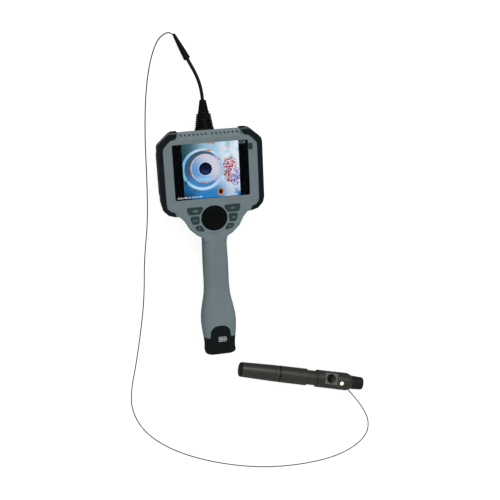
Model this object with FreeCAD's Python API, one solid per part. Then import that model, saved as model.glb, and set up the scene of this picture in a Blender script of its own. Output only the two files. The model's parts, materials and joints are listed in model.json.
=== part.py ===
import FreeCAD, Part
import math
import os
from FreeCAD import Vector as V

# Handheld inspection camera: a screen handset with a keypad and a pistol handle,
# a stiff lead, a thin insertion tube and a pen-shaped metal head, all lying on a table.
# Millimetres. Z = 0 is the table, the screen faces +Z, the cable leaves towards +Y.

# ---------------------------------------------------------------- driving sizes
FRONT = 40.0            # height of the bezel face
PARTING = 20.0          # joint between the two shells
WALL = 2.5              # shell wall
LIP = 1.2               # bezel lip over the glass
SEAT = 0.05             # gap between pieces that are fixed together
RUN = 0.3               # gap round a moving key or flap
SCREEN_W, SCREEN_H = 101.6, 76.2          # a 5.0 inch 4:3 panel's picture area
LCD_RIM_X, LCD_RIM_Y, LCD_T = 5.2, 3.4, 5.3  # its metal case stands out past it
LCD_W, LCD_H = SCREEN_W + 2 * LCD_RIM_X, SCREEN_H + 2 * LCD_RIM_Y
GLASS_T = 1.3
RIDGE_TOP = 44.5        # where the vented top slope starts on the face
SLOPE = 0.77            # that slope, mm outward for each mm down
REAR_DRAFT = 0.36       # the back's inward draft at the top
GUARD_T = 3.5           # thickness of the black rear guards
GUARD_Z = (5.0, 31.4)
BUMPER_Z = (36.0, FRONT + 0.5)
BUMPER_END = 43.3       # half width of the top face between the corner bumpers

NAV_X, NAV_Y = 0.0, -66.5
NAV_HOLE = 18.1
NAV_R = 17.3
NAV_PIVOT = 31.5
KEY_TRAVEL = 0.7
BOARD_Z = 33.0          # underside of the keypad board
BOARD_T = 1.4

CELL_R, CELL_L = 9.2, 65.0
CELL_Z = 18.2
PLATE_T, STANDOFF = 1.0, 3.5               # panel bracket and the posts that hold the main board
PLUG_L = 4.2            # how far the end cap's plug reaches into the handle
CORNER_Z = 26.5         # the head's top corners slope inwards below this height
GLAND_X, GLAND_Z = -4.0, PARTING
SOCKET_R = 6.2
RELIEF_A, RELIEF_B = 12.4, 8.0   # half width and half thickness of the strain relief's first rib
LEAD_D = 4.6
TUBE_D = 1.5

# half outline of the head and neck, top centre to neck: (x, y, corner radius)
HEAD = [(0.0, 53.8, 0), (24.0, 53.3, 60), (43.0, 52.7, 40), (54.4, 52.7, 4), (69.6, 39.2, 4),
        (70.5, 33.0, 8), (70.5, -42.5, 8), (68.6, -50.2, 6), (61.6, -57.8, 6), (52.8, -60.6, 6),
        (46.6, -61.6, 6), (40.6, -68.6, 10), (34.4, -80.6, 10), (24.6, -90.0, 12), (16.4, -94.6, 5),
        (16.3, -99.0, 0)]
# half outline of the hollow behind the face
HOLLOW = [(0.0, 44.1, 0), (54.0, 44.1, 2), (61.2, 37.2, 2), (61.2, -42.5, 5), (56.6, -50.2, 4),
          (50.6, -55.0, 4), (44.6, -58.4, 4), (37.8, -66.8, 8), (31.6, -78.8, 8), (22.8, -87.4, 8),
          (13.8, -92.6, 3), (13.8, -98.0, 0)]
# inner edge of the front corner bumpers
BUMPER = [(BUMPER_END, 60.0, 0), (BUMPER_END, 50.2, 2), (46.0, 45.6, 3), (51.6, 45.0, 4),
          (57.2, 40.2, 3), (62.8, 33.8, 4), (63.2, 27.0, 8), (63.2, -41.0, 8), (62.6, -47.4, 4),
          (58.6, -52.0, 4), (53.4, -54.0, 3), (51.4, -57.4, 2), (51.4, -75.0, 0), (90.0, -75.0, 0),
          (90.0, 60.0, 0)]
# handle sections: y, half width, back, front, corner radius
HANDLE = [(-84.0, 17.6, 5.0, FRONT - 0.1, 8.0), (-99.0, 16.3, 4.2, FRONT - 0.2, 8.0),
          (-140.0, 17.4, 3.6, 37.0, 11.0),
          (-187.0, 19.0, 3.0, 34.6, 12.0), (-214.0, 24.0, 1.6, 35.8, 13.0),
          (-240.0, 24.2, 0.8, 36.0, 13.0), (-275.0, 23.0, 0.8, 34.6, 12.0)]
# keys on the right half; the left half mirrors them
KEYS = {"key_1": [(13.7, -49.6, 1.6), (36.9, -49.2, 2.4), (34.8, -59.0, 2.4), (19.2, -59.1, 2.4)],
        "key_2": [(20.6, -62.1, 1.6), (33.0, -62.1, 2.4), (30.0, -72.8, 2.4), (20.9, -72.8, 2.0)],
        "key_3": [(18.8, -75.9, 1.8), (28.6, -75.9, 2.2), (23.8, -82.0, 2.8), (13.4, -84.7, 1.3)]}
SCREWS = [(55.0, 36.0), (-55.0, 36.0), (57.8, -43.6), (-57.8, -43.6), (9.6, -113.0), (-9.6, -113.0)]
POST_R, POST_TOP = 3.1, 31.6
FLAP_Y = (-32.0, 25.0)
FLAP_Z = (14.5, 30.2)

parts = {}


# ---------------------------------------------------------------- helpers
def loop(points, z):
    """A closed wire through (x, y, radius) corners, each corner rounded by its radius."""
    n = len(points)
    corners = [V(p[0], p[1], z) for p in points]
    ends = []
    for i, (_, _, r) in enumerate(points):
        a, b, c = corners[i - 1], corners[i], corners[(i + 1) % n]
        u, w = (a - b), (c - b)
        u.normalize()
        w.normalize()
        half = u.getAngle(w) / 2
        if r <= 0 or abs(half - math.pi / 2) < 1e-3:
            ends.append((b, None, b))
            continue
        t = r / math.tan(half)
        bis = u + w
        bis.normalize()
        mid = b + bis * (r / math.sin(half) - r)
        ends.append((b + u * t, mid, b + w * t))
    edges = []
    for i in range(n):
        first, mid, last = ends[i]
        if mid is not None:
            edges.append(Part.Arc(first, mid, last).toShape())
        nxt = ends[(i + 1) % n][0]
        if (nxt - last).Length > 1e-6:
            edges.append(Part.LineSegment(last, nxt).toShape())
    return Part.Wire(edges)


def prism(points, z0, z1):
    return Part.Face(loop(points, z0)).extrude(V(0, 0, z1 - z0))


def both_sides(half):
    """Close a right-hand half outline by mirroring it about x = 0."""
    left = [(-x, y, r) for x, y, r in reversed(half) if x > 0]
    return half + left


def inset(half, d):
    """Move a half outline inwards by d, keeping its corner radii sensible."""
    pts = both_sides(half)
    n = len(pts)
    out = []
    for i, (x, y, r) in enumerate(pts):
        a, b, c = V(*pts[i - 1][:2], 0), V(x, y, 0), V(*pts[(i + 1) % n][:2], 0)
        u, w = (b - a), (c - b)
        u.normalize()
        w.normalize()
        nu, nw = V(u.y, -u.x, 0), V(w.y, -w.x, 0)
        k = 1 + nu.dot(nw)
        q = b + (nu + nw) * (d / k)
        out.append((q.x, q.y, r))
    return out


def profile_x(points, x0, x1):
    """A (y, z) polygon swept along X."""
    wire = Part.makePolygon([V(x0, y, z) for y, z in points + points[:1]])
    return Part.Face(wire).extrude(V(x1 - x0, 0, 0))


def profile_y(points, y0, y1):
    """An (x, z) polygon swept along Y."""
    wire = Part.makePolygon([V(x, y0, z) for x, z in points + points[:1]])
    return Part.Face(wire).extrude(V(0, y1 - y0, 0))


def box(x0, x1, y0, y1, z0, z1):
    return Part.makeBox(x1 - x0, y1 - y0, z1 - z0, V(x0, y0, z0))


def rod(r, start, end):
    a, b = V(*start), V(*end)
    return Part.makeCylinder(r, (b - a).Length, a, b - a)


def turned(profile, base=V(0, 0, 0), axis=V(0, 0, 1), start=V(1, 0, 0)):
    """Turn an (r, h) profile about the axis through base."""
    pts = [base + start * r + axis * h for r, h in profile]
    return Part.Face(Part.makePolygon(pts + pts[:1])).revolve(base, axis, 360)


def oval(y, a, b):
    """An oval across the cable exit's axis: half width a, half thickness b."""
    wire = Part.Wire([Part.Ellipse(V(0, 0, 0), max(a, b), min(a, b)).toShape()])
    if b > a:
        wire.rotate(V(0, 0, 0), V(0, 0, 1), 90)
    wire.rotate(V(0, 0, 0), V(1, 0, 0), 90)
    wire.translate(V(GLAND_X, y, GLAND_Z))
    return wire


def oval_slab(y0, y1, a, b):
    return Part.Face(oval(y0, a, b)).extrude(V(0, y1 - y0, 0))


def oval_taper(y0, a0, b0, y1, a1, b1):
    return Part.makeLoft([oval(y0, a0, b0), oval(y1, a1, b1)], True, True)


def soften(shape, r, pick):
    """Round the edges that pick chooses."""
    return shape.makeFillet(r, [e for e in shape.Edges if pick(e)])


def one(shape):
    """The single solid of a boolean result."""
    solids = shape.removeSplitter().Solids
    return max(solids, key=lambda s: s.Volume)


def cut(shape, *tools):
    for t in tools:
        shape = shape.cut(t)
    return shape


def at_height(e, z):
    b = e.BoundBox
    return abs(b.ZMin - z) < 1e-4 and abs(b.ZMax - z) < 1e-4


# ---------------------------------------------------------------- outer form
def handle_form(t):
    """Lofted handle, t mm inside its surface."""
    wires = []
    for y, w, z0, z1, r in HANDLE:
        w, z0, z1, r = w - t, z0 + t, z1 - t, max(r - t, 1.0)
        flat = loop([(w, z0, r), (w, z1, r), (-w, z1, r), (-w, z0, r)], 0)
        flat.rotate(V(0, 0, 0), V(1, 0, 0), 90)
        flat.translate(V(0, y, 0))
        wires.append(flat)
    return Part.makeLoft(wires, True, False)


def corner_draft(side):
    """What the sloping underside takes off a top corner of the head."""
    (x0, y0), (x1, y1) = HEAD[3][:2], HEAD[4][:2]
    angle = math.atan2(y0 - y1, x1 - x0)
    reach = x0 * math.sin(angle) + y0 * math.cos(angle)
    wedge = profile_x([(reach, CORNER_Z), (reach + 30, CORNER_Z), (reach + 30, -5.0),
                       (reach - REAR_DRAFT * (CORNER_Z + 5), -5.0)], -60, 60)
    wedge.rotate(V(0, 0, 0), V(0, 0, 1), -side * math.degrees(angle))
    return wedge


def head_form():
    body = prism(both_sides(HEAD), 2.0, FRONT)
    body = soften(body, 2.5, lambda e: at_height(e, FRONT) and -98.9 < e.BoundBox.YMin < -58)
    run = 30.0
    slope = profile_x([(RIDGE_TOP, FRONT), (RIDGE_TOP, FRONT + 5), (80.0, FRONT + 5),
                       (80.0, FRONT - run), (RIDGE_TOP + SLOPE * run, FRONT - run)],
                      -BUMPER_END, BUMPER_END)
    turn_z = FRONT - (53.3 - RIDGE_TOP) / SLOPE
    rear = profile_x([(53.3, turn_z), (80.0, turn_z), (80.0, -5.0),
                      (53.3 - REAR_DRAFT * (turn_z + 5), -5.0)], -90, 90)
    flank = profile_y([(70.6, 18.0), (90.0, 18.0), (90.0, -2.0), (59.0, -2.0)], -100, 100)
    other = flank.mirror(V(0, 0, 0), V(1, 0, 0))
    return cut(body, slope, rear, flank, other, corner_draft(1), corner_draft(-1))


handle = handle_form(0.0)
head = head_form()
form = head.fuse(handle)

hollow = prism(both_sides(HOLLOW), 4.5, FRONT - WALL)
hollow = hollow.cut(profile_x([(44.2, 26.0), (60, 26.0), (60, 0.0), (35.0, 0.0)], -90, 90))
hollow = hollow.cut(profile_x([(41.0, FRONT - WALL + 1), (60, FRONT - WALL + 1),
                               (60, FRONT - 5)], -90, 90))
core = handle_form(WALL)
core = core.common(box(-40, 40, -272.0, -86.0, 0, 60))
hollow = hollow.fuse(core)

# cap region: a domed tongue on the front and the whole handle end
SHOULDER = -248.6
TONGUE = [(24.0, -285.0, 0), (24.0, SHOULDER, 0), (14.6, SHOULDER, 3.4), (13.4, -229.8, 11.6),
          (0.0, -229.3, 0)]
tongue_zone = prism(TONGUE + [(-x, y, r) for x, y, r in reversed(TONGUE) if x > 0], 27.0, 50.0)
cap_zone = tongue_zone.fuse(box(-40, 40, -290, SHOULDER, -5, 60))
grown = [(x + (0.25 if 0 < x < 20 else 0), y + 0.25, r) for x, y, r in TONGUE]
shell_zone = prism(grown + [(-x, y, r) for x, y, r in reversed(grown) if x > 0], 26.8, 50.0)
shell_zone = shell_zone.fuse(box(-40, 40, -290, SHOULDER + 0.25, -5, 60))

# ---------------------------------------------------------------- shells
shell = form.cut(hollow)

window_hole = prism([(SCREEN_W / 2 + 0.1, SCREEN_H / 2 + 0.1, 2), (-SCREEN_W / 2 - 0.1, SCREEN_H / 2 + 0.1, 2),
                     (-SCREEN_W / 2 - 0.1, -SCREEN_H / 2 - 0.1, 2), (SCREEN_W / 2 + 0.1, -SCREEN_H / 2 - 0.1, 2)],
                    FRONT - 4, FRONT + 1)
glass_w, glass_h = SCREEN_W + 6.0, SCREEN_H + 5.6
glass_seat = box(-glass_w / 2, glass_w / 2, -glass_h / 2, glass_h / 2, FRONT - 4, FRONT - LIP)
nav_hole = rod(NAV_HOLE, (NAV_X, NAV_Y, FRONT - 4), (NAV_X, NAV_Y, FRONT + 1))
shell = cut(shell, window_hole, glass_seat, nav_hole)
shell = soften(shell, 0.6, lambda e: at_height(e, FRONT) and e.BoundBox.XLength > 2
               and abs(e.BoundBox.Center.y) < 45 and e.BoundBox.YLength < 0.01
               and abs(abs(e.BoundBox.Center.y) - SCREEN_H / 2 - 0.1) < 0.01)

# vents: two rows of seven slanting slots through the top slope
slope_angle = math.degrees(math.atan2(1, SLOPE))
vent_pitch, vent_gap = 5.55, 8.3
for side in (-1, 1):
    for i in range(7):
        x = side * (vent_gap / 2 + i * vent_pitch)
        slot = prism([(1.0, 2.1, 0.95), (-1.0, 2.1, 0.95), (-1.0, -2.1, 0.95), (1.0, -2.1, 0.95)], -12, 3)
        slot.rotate(V(0, 0, 0), V(0, 0, 1), 24)
        slot.rotate(V(0, 0, 0), V(1, 0, 0), -slope_angle)
        z = FRONT - 6.0
        slot.translate(V(x, RIDGE_TOP + SLOPE * (FRONT - z), z))
        shell = shell.cut(slot)

# gland bore through the top wall, and the two port windows in the flanks
shell = shell.cut(rod(SOCKET_R + 0.1, (GLAND_X, 40, GLAND_Z), (GLAND_X, 70, GLAND_Z)))
shell = shell.cut(rod(11.0 + SEAT, (GLAND_X, 34, GLAND_Z), (GLAND_X, 43.9 + SEAT, GLAND_Z)))
relief_low = 49.7
shell = shell.cut(oval_slab(relief_low - SEAT, 70, RELIEF_A + 0.9, RELIEF_B + 0.2))
port_box = {}
for side in (-1, 1):
    x0, x1 = sorted((side * 59.0, side * 80.0))
    window = box(x0, x1, FLAP_Y[0] + 4, FLAP_Y[1] - 4, FLAP_Z[0] + 3.4, FLAP_Z[1] - 1.8)
    port_box[side] = window
    shell = shell.cut(window)

# keys pass through the face
key_points = {}
for name, pts in KEYS.items():
    key_points[name + "_right"] = pts
    key_points[name + "_left"] = [(-x, y, r) for x, y, r in reversed(pts)]


def grow(points, d):
    """Offset a small closed outline outwards by d."""
    face = Part.Face(loop(points, 0))
    return face.makeOffset2D(d)


def lift(face, z0, z1):
    f = face.copy()
    f.translate(V(0, 0, z0))
    return f.extrude(V(0, 0, z1 - z0))


for name, pts in key_points.items():
    shell = shell.cut(lift(grow(pts, RUN), FRONT - 4, FRONT + 1))

# bumper and guard pockets
ring_outer = both_sides(HEAD)
bumper_zone = {}
for side in (-1, 1):
    pts = [(side * x, y, r) for x, y, r in BUMPER]
    bumper_zone[side] = prism(pts, BUMPER_Z[0], BUMPER_Z[1] + 3)
slab = prism(ring_outer, BUMPER_Z[0], BUMPER_Z[1])
slab = soften(slab, 1.6, lambda e: at_height(e, BUMPER_Z[1]) and abs(e.BoundBox.Center.x) > 30
              and e.BoundBox.Center.y > -64)
guard_core = prism(inset(HEAD, GUARD_T), 0, 60)
guard_band = prism(ring_outer, GUARD_Z[0], GUARD_Z[1]).cut(guard_core)
guard_rear = profile_x([(54.5, 20.0), (80, 20.0), (80, -5), (38.0, -5)], -90, 90)
flank = profile_y([(70.6, 17.0), (90.0, 17.0), (90.0, -2.0), (61.0, -2.0)], -100, 100)
guard_band = cut(guard_band, guard_rear, flank, flank.mirror(V(0, 0, 0), V(1, 0, 0)),
                 corner_draft(1), corner_draft(-1))
bumpers, guards = {}, {}
for side in (-1, 1):
    x0, x1 = sorted((side * 42.0, side * 90.0))
    zone = box(x0, x1, -61.6, 60, 0, 60)
    bumpers[side] = one(slab.common(bumper_zone[side]))
    guards[side] = one(guard_band.common(zone))
    shell = shell.cut(bumper_zone[side])
    shell = shell.cut(box(x0, x1, -61.8, 60, -1, GUARD_Z[1] + SEAT).cut(guard_core))
parts["bumper_left"] = bumpers[-1]
parts["bumper_right"] = bumpers[1]

# clamshell screw posts
posts = []
for x, y in SCREWS:
    low, high = (2.0, POST_TOP) if y > -90 else (4.0, 33.6)
    posts.append(rod(POST_R, (x, y, low), (x, y, high)))
for post in posts:
    shell = shell.fuse(post.common(form))
screws = []
for x, y in SCREWS:
    shell = shell.cut(rod(1.5, (x, y, 1), (x, y, POST_TOP - 1.0)))
    shell = shell.cut(rod(2.5, (x, y, -1), (x, y, 9.0)))
    head_piece = rod(2.4, (x, y, 6.4), (x, y, 9.0 - SEAT)).cut(
        prism([(1.3 * math.cos(math.radians(60 * k)), 1.3 * math.sin(math.radians(60 * k)), 0)
               for k in range(6)], 6.0, 8.0).translate(V(x, y, 0)))
    screws.append(head_piece.fuse(rod(1.45, (x, y, 8.9), (x, y, POST_TOP - 1.3))))

# posts for the panel bracket, the keypad board and ribs for the battery tube
lcd_top = FRONT - WALL - SEAT
lcd_back = lcd_top - LCD_T
bracket_posts = [(59.9, 24.0), (-59.9, 24.0), (59.9, -30.0), (-59.9, -30.0)]
for x, y in bracket_posts:
    shell = shell.fuse(box(*sorted((x, x + math.copysign(2.5, x))), y - 3, y + 3, lcd_back, FRONT - WALL))
pad_posts = [(41.6, -52.2), (-41.6, -52.2), (7.6, -89.2), (-7.6, -89.2)]
for x, y in pad_posts:
    shell = shell.fuse(rod(2.2, (x, y, BOARD_Z + BOARD_T + SEAT), (x, y, FRONT - WALL + 0.2)))
    shell = shell.cut(rod(0.85, (x, y, BOARD_Z), (x, y, FRONT - WALL - 0.2)))
TUBE_IN, TUBE_OUT = CELL_R + 0.3, CELL_R + 1.5
for y in (-138.0, -176.0, -214.0, -238.0):
    rib = box(-26, 26, y - 1, y + 1, 0, CELL_Z - 3).common(handle_form(1.0))
    shell = shell.fuse(rib.cut(rod(TUBE_OUT + SEAT, (0, y - 2, CELL_Z), (0, y + 2, CELL_Z))))
bulkhead = box(-26, 26, -129.0, -127.0, 0, PARTING).common(handle_form(1.0))
shell = shell.fuse(bulkhead)

shell = shell.cut(shell_zone)
front_half = box(-100, 100, -300, 100, PARTING + SEAT, 60)
rear_half = box(-100, 100, -300, 100, -10, PARTING - SEAT)
parts["front_shell"] = one(shell.common(front_half))
parts["rear_shell"] = one(shell.common(rear_half))
parts["shell_screws"] = Part.makeCompound(screws)

# ---------------------------------------------------------------- guards and port flaps
def span(side, a, b):
    return sorted((side * a, side * b))


HINGE_Z = FLAP_Z[0] + 1.6
HINGE_R = 1.3
FLAP_FACE = 71.2
for side, tag in ((-1, "left"), (1, "right")):
    x0, x1 = span(side, 67.6, 80.0)
    pocket = box(x0, x1, FLAP_Y[0] - RUN, FLAP_Y[1] + RUN, FLAP_Z[0] - RUN, GUARD_Z[1] + 2)
    guard = guards[side].cut(pocket).cut(port_box[side])
    axis_x = side * (FLAP_FACE - HINGE_R - 0.1)
    # two hinge pins stand out of the guard's end walls into the flap
    for y, d in ((FLAP_Y[0], 1), (FLAP_Y[1], -1)):
        guard = guard.fuse(rod(0.6, (axis_x, y - d * 1.2, HINGE_Z), (axis_x, y + d * 3.0, HINGE_Z)))
    parts["rear_guard_" + tag] = one(guard)
    x0, x1 = span(side, FLAP_FACE - 2.4, FLAP_FACE)
    flap = box(x0, x1, FLAP_Y[0], FLAP_Y[1], HINGE_Z, FLAP_Z[1])
    outer = side * FLAP_FACE
    flap = soften(flap, 0.8, lambda e: abs(e.BoundBox.Center.x - outer) < 0.01
                  and e.BoundBox.ZMin > HINGE_Z + 0.1)
    flap = flap.fuse(rod(HINGE_R, (axis_x, FLAP_Y[0], HINGE_Z), (axis_x, FLAP_Y[1], HINGE_Z)))
    x0, x1 = span(side, 68.4, FLAP_FACE - 2.3)
    flap = flap.fuse(box(x0, x1, FLAP_Y[0] + 9, FLAP_Y[1] - 9, HINGE_Z + 4.6, FLAP_Z[1] - 2.6))
    x0, x1 = span(side, FLAP_FACE - 0.1, FLAP_FACE + 0.5)
    for k in range(4):
        y = FLAP_Y[1] - 6 - k * 2.2
        flap = flap.fuse(box(x0, x1, y - 0.5, y + 0.5, FLAP_Z[1] - 9, FLAP_Z[1] - 3))
    flap = flap.cut(rod(0.65, (axis_x, FLAP_Y[0] - 1, HINGE_Z), (axis_x, FLAP_Y[0] + 3.3, HINGE_Z)))
    flap = flap.cut(rod(0.65, (axis_x, FLAP_Y[1] + 1, HINGE_Z), (axis_x, FLAP_Y[1] - 3.3, HINGE_Z)))
    parts["port_flap_" + tag] = one(flap)

    # connector carrier filling the port window, with the sockets sunk into it
    x0, x1 = span(side, 60.6, 66.9)
    y0, y1 = FLAP_Y[0] + 4 + SEAT, FLAP_Y[1] - 4 - SEAT
    z0, z1 = FLAP_Z[0] + 3.4 + SEAT, FLAP_Z[1] - 1.8 - SEAT
    carrier = box(x0, x1, y0, y1, z0, z1)
    zc = (z0 + z1) / 2
    sockets = []
    layout = ((-22.0, 9.2, 3.4), (-6.0, 14.0, 3.0), (12.0, 11.4, 4.2)) if side < 0 else \
             ((-20.0, 9.2, 3.4), (-2.0, 13.2, 5.8), (14.0, 7.0, 7.0))
    for yc, w, h in layout:
        sx0, sx1 = span(side, 61.6, 66.7)
        sleeve = box(sx0, sx1, yc - w / 2, yc + w / 2, zc - h / 2, zc + h / 2)
        sx2, sx3 = span(side, 62.4, 67.4)
        bore = box(sx2, sx3, yc - w / 2 + 0.5, yc + w / 2 - 0.5, zc - h / 2 + 0.5, zc + h / 2 - 0.5)
        tongue_x = span(side, 62.2, 66.0)
        blade = box(*tongue_x, yc - w / 2 + 1.4, yc + w / 2 - 1.4, zc - 0.4, zc + 0.4)
        sockets.append(sleeve.cut(bore).fuse(blade))
        grow_x = span(side, 61.5, 68.0)
        carrier = carrier.cut(box(*grow_x, yc - w / 2 - SEAT, yc + w / 2 + SEAT,
                                  zc - h / 2 - SEAT, zc + h / 2 + SEAT))
    parts["port_carrier_" + tag] = one(carrier)
    parts["port_sockets_" + tag] = Part.makeCompound(sockets)

# ---------------------------------------------------------------- display stack
glass_top = FRONT - LIP - SEAT
parts["display_window"] = box(-glass_w / 2 + 0.1, glass_w / 2 - 0.1, -glass_h / 2 + 0.1, glass_h / 2 - 0.1,
                              glass_top - GLASS_T, glass_top)
glass_back = glass_top - GLASS_T
lcd = box(-LCD_W / 2, LCD_W / 2, -LCD_H / 2, LCD_H / 2, lcd_back, BUMPER_Z[0] - 0.2)
lcd = lcd.fuse(box(-glass_w / 2 + 0.4, glass_w / 2 - 0.4, -glass_h / 2 + 0.4, glass_h / 2 - 0.4,
                   lcd_back, glass_back - SEAT))
parts["lcd_panel"] = one(lcd)
plate_low = lcd_back - SEAT - PLATE_T
bracket = box(-61.1, 61.1, -32.5, 32.5, plate_low, lcd_back - SEAT)
bracket = bracket.cut(box(-40, 40, -24, 24, 0, 60))
for x in (-47.0, 47.0):
    for y in (-29.0, 29.0):
        bracket = bracket.fuse(rod(2.4, (x, y, plate_low - STANDOFF), (x, y, plate_low + 0.5)))
parts["panel_bracket"] = one(bracket)
board_top = plate_low - STANDOFF - SEAT
board = box(-50.5, 50.5, -36, 36, board_top - BOARD_T, board_top)
for x in (-47.0, 47.0):
    for y in (-29.0, 29.0):
        board = board.cut(rod(1.3, (x, y, 0), (x, y, 60)))
parts["main_board"] = one(board)
chips = []
for x, y, w, h, t in ((0, 6, 17, 17, 1.6), (24, 10, 12, 10, 1.2), (-24, 8, 11, 14, 1.2), (6, -20, 9, 7, 1.4),
                      (-30, -22, 14, 9, 2.2), (34, -18, 8, 8, 3.0), (-6, 31, 22, 6, 3.4)):
    chips.append(box(x - w / 2, x + w / 2, y - h / 2, y + h / 2, board_top - BOARD_T - t, board_top - BOARD_T))
parts["board_chips"] = Part.makeCompound(chips)
board_screws = []
for x in (-47.0, 47.0):
    for y in (-29.0, 29.0):
        board_screws.append(rod(2.0, (x, y, board_top - 3.0), (x, y, board_top - BOARD_T - SEAT)).fuse(
            rod(1.2, (x, y, board_top - 2.0), (x, y, board_top))))
parts["board_screws"] = Part.makeCompound(board_screws)
tab_x, tab_y = SCREEN_W / 2 + 0.3, SCREEN_H / 2 - 13.3
parts["screen_film_tab"] = box(tab_x, tab_x + 5.6, tab_y, tab_y + 8.6, FRONT + 0.02, FRONT + 0.27)

# ---------------------------------------------------------------- keypad and navigation pad
inner = [(0.0, -46.4, 0), (44.0, -46.4, 2), (46.6, -55.0, 3), (36.6, -66.4, 6), (30.4, -78.4, 6),
         (21.6, -86.6, 5), (12.6, -92.0, 2), (0.0, -92.0, 0)]
outline = inner + [(-x, y, r) for x, y, r in reversed(inner) if x > 0]
key_board = prism(outline, BOARD_Z, BOARD_Z + BOARD_T)
key_board = key_board.cut(rod(13.9, (NAV_X, NAV_Y, 0), (NAV_X, NAV_Y, 60)))
for x, y in pad_posts:
    key_board = key_board.cut(rod(1.0, (x, y, 0), (x, y, 60)))
parts["keypad_board"] = one(key_board)
pad_screws = []
for x, y in pad_posts:
    pad_screws.append(rod(1.7, (x, y, BOARD_Z - 1.3), (x, y, BOARD_Z - SEAT)).fuse(
        rod(0.8, (x, y, BOARD_Z - 1), (x, y, FRONT - WALL - 0.4))))
parts["keypad_screws"] = Part.makeCompound(pad_screws)
FLANGE_TOP = FRONT - WALL - 0.2
NUB_LOW = BOARD_Z + BOARD_T + 0.8 + KEY_TRAVEL + 0.1
switches = []
for name, pts in key_points.items():
    cx = sum(p[0] for p in pts) / len(pts)
    cy = sum(p[1] for p in pts) / len(pts)
    key = lift(Part.Face(loop(pts, 0)), FLANGE_TOP - 0.1, FRONT + 0.9)
    key = soften(key, 0.4, lambda e: at_height(e, FRONT + 0.9))
    key = key.fuse(lift(grow(pts, 0.9), FLANGE_TOP - 0.8, FLANGE_TOP))
    key = key.fuse(rod(1.5, (cx, cy, NUB_LOW), (cx, cy, FLANGE_TOP - 0.4)))
    parts[name] = one(key)
    base = BOARD_Z + BOARD_T + SEAT
    switches.append(box(cx - 2.6, cx + 2.6, cy - 2.6, cy + 2.6, base, base + 0.5).fuse(
        rod(1.6, (cx, cy, base), (cx, cy, NUB_LOW - KEY_TRAVEL - 0.1))))
parts["key_switches"] = Part.makeCompound(switches)

c = V(NAV_X, NAV_Y, 0)
pad = turned([(0, 37.7), (NAV_R - 0.9, 37.7), (NAV_R, 38.3), (NAV_R, 39.5), (NAV_R - 0.8, 40.2),
              (13.0, 40.5), (8.0, 40.2), (0, 40.0)], c)
pad = pad.fuse(turned([(0, NAV_PIVOT - 2.2), (3.2, NAV_PIVOT - 2.2), (3.2, 36.0), (5.0, 37.8), (0, 37.8)], c))
pad = pad.fuse(rod(1.1, (NAV_X, NAV_Y - 8.2, NAV_PIVOT), (NAV_X, NAV_Y + 8.2, NAV_PIVOT)))
parts["nav_pad"] = one(pad)
ring = turned([(6.2, NAV_PIVOT - 1.8), (8.8, NAV_PIVOT - 1.8), (8.8, NAV_PIVOT + 1.8), (6.2, NAV_PIVOT + 1.8)], c)
ring = ring.cut(rod(1.15, (NAV_X, NAV_Y - 12, NAV_PIVOT), (NAV_X, NAV_Y + 12, NAV_PIVOT)))
for s in (-1, 1):
    ring = ring.fuse(rod(1.1, (NAV_X + s * 7.6, NAV_Y, NAV_PIVOT), (NAV_X + s * 11.6, NAV_Y, NAV_PIVOT)))
parts["nav_gimbal"] = one(ring)
cup = turned([(4.6, 26.6), (14.6, 26.6), (14.6, 31.2), (16.8, 31.2), (16.8, BOARD_Z - SEAT),
              (13.3, BOARD_Z - SEAT), (13.3, 28.2), (4.6, 28.2)], c)
for s in (-1, 1):
    x0, x1 = sorted((NAV_X + s * 9.5, NAV_X + s * 13.5))
    cup = cup.fuse(box(x0, x1, NAV_Y - 2.4, NAV_Y + 2.4, 27.4, NAV_PIVOT + 2.0))
cup = cup.cut(rod(1.15, (NAV_X - 12, NAV_Y, NAV_PIVOT), (NAV_X + 12, NAV_Y, NAV_PIVOT)))
parts["nav_base"] = one(cup)

# ---------------------------------------------------------------- battery, handle end cap
parts["battery_tube"] = rod(TUBE_OUT, (0, -126.9 - 2.2, CELL_Z), (0, -244.0, CELL_Z)).cut(
    rod(TUBE_IN, (0, -131.0, CELL_Z), (0, -250, CELL_Z)))
cell_top = -131.4
cells = []
for k in range(2):
    y = cell_top - k * (CELL_L + SEAT)
    cells.append(rod(CELL_R, (0, y - 1.2, CELL_Z), (0, y - CELL_L, CELL_Z)).fuse(
        rod(3.0, (0, y, CELL_Z), (0, y - 2, CELL_Z))))
parts["battery_cells"] = Part.makeCompound(cells)
cell_end = cell_top - 2 * CELL_L - 2 * SEAT

cap = handle.common(cap_zone)
cap_hollow = core.common(box(-40, 40, -271.0, -200, 0, 60))
cap = cap.cut(cap_hollow)
cap = soften(cap, 2.0, lambda e: e.BoundBox.YMax < -274.9)
plug, plug_bore = [Part.Face(handle_form(t).slice(V(0, 1, 0), SHOULDER)).extrude(V(0, PLUG_L, 0))
                   for t in (WALL + 0.3, WALL + 2.0)]
skirt = plug.cut(plug_bore).fuse(handle_form(WALL + 0.3).cut(handle_form(WALL + 2.0)).common(
    box(-40, 40, SHOULDER - 3.4, SHOULDER, 0, 60)))
bridge = handle_form(0.6).cut(handle_form(WALL + 2.0)).common(box(-40, 40, -252.0, SHOULDER - 0.6, 0, 60))
cap = cap.fuse(bridge).fuse(skirt.cut(tongue_zone.common(box(-40, 40, -300, 0, 30, 60))))
parts["battery_cap"] = one(cap)
pad_y = -271.0
parts["cap_contact"] = rod(6.0, (0, pad_y + SEAT, CELL_Z), (0, pad_y + 1.2, CELL_Z)).fuse(
    turned([(0, 0), (5.0, 0), (2.2, abs(cell_end - pad_y) - 1.2), (0, abs(cell_end - pad_y) - 1.2)],
           V(0, pad_y + 1.0, CELL_Z), V(0, 1, 0), V(1, 0, 0)))

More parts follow.
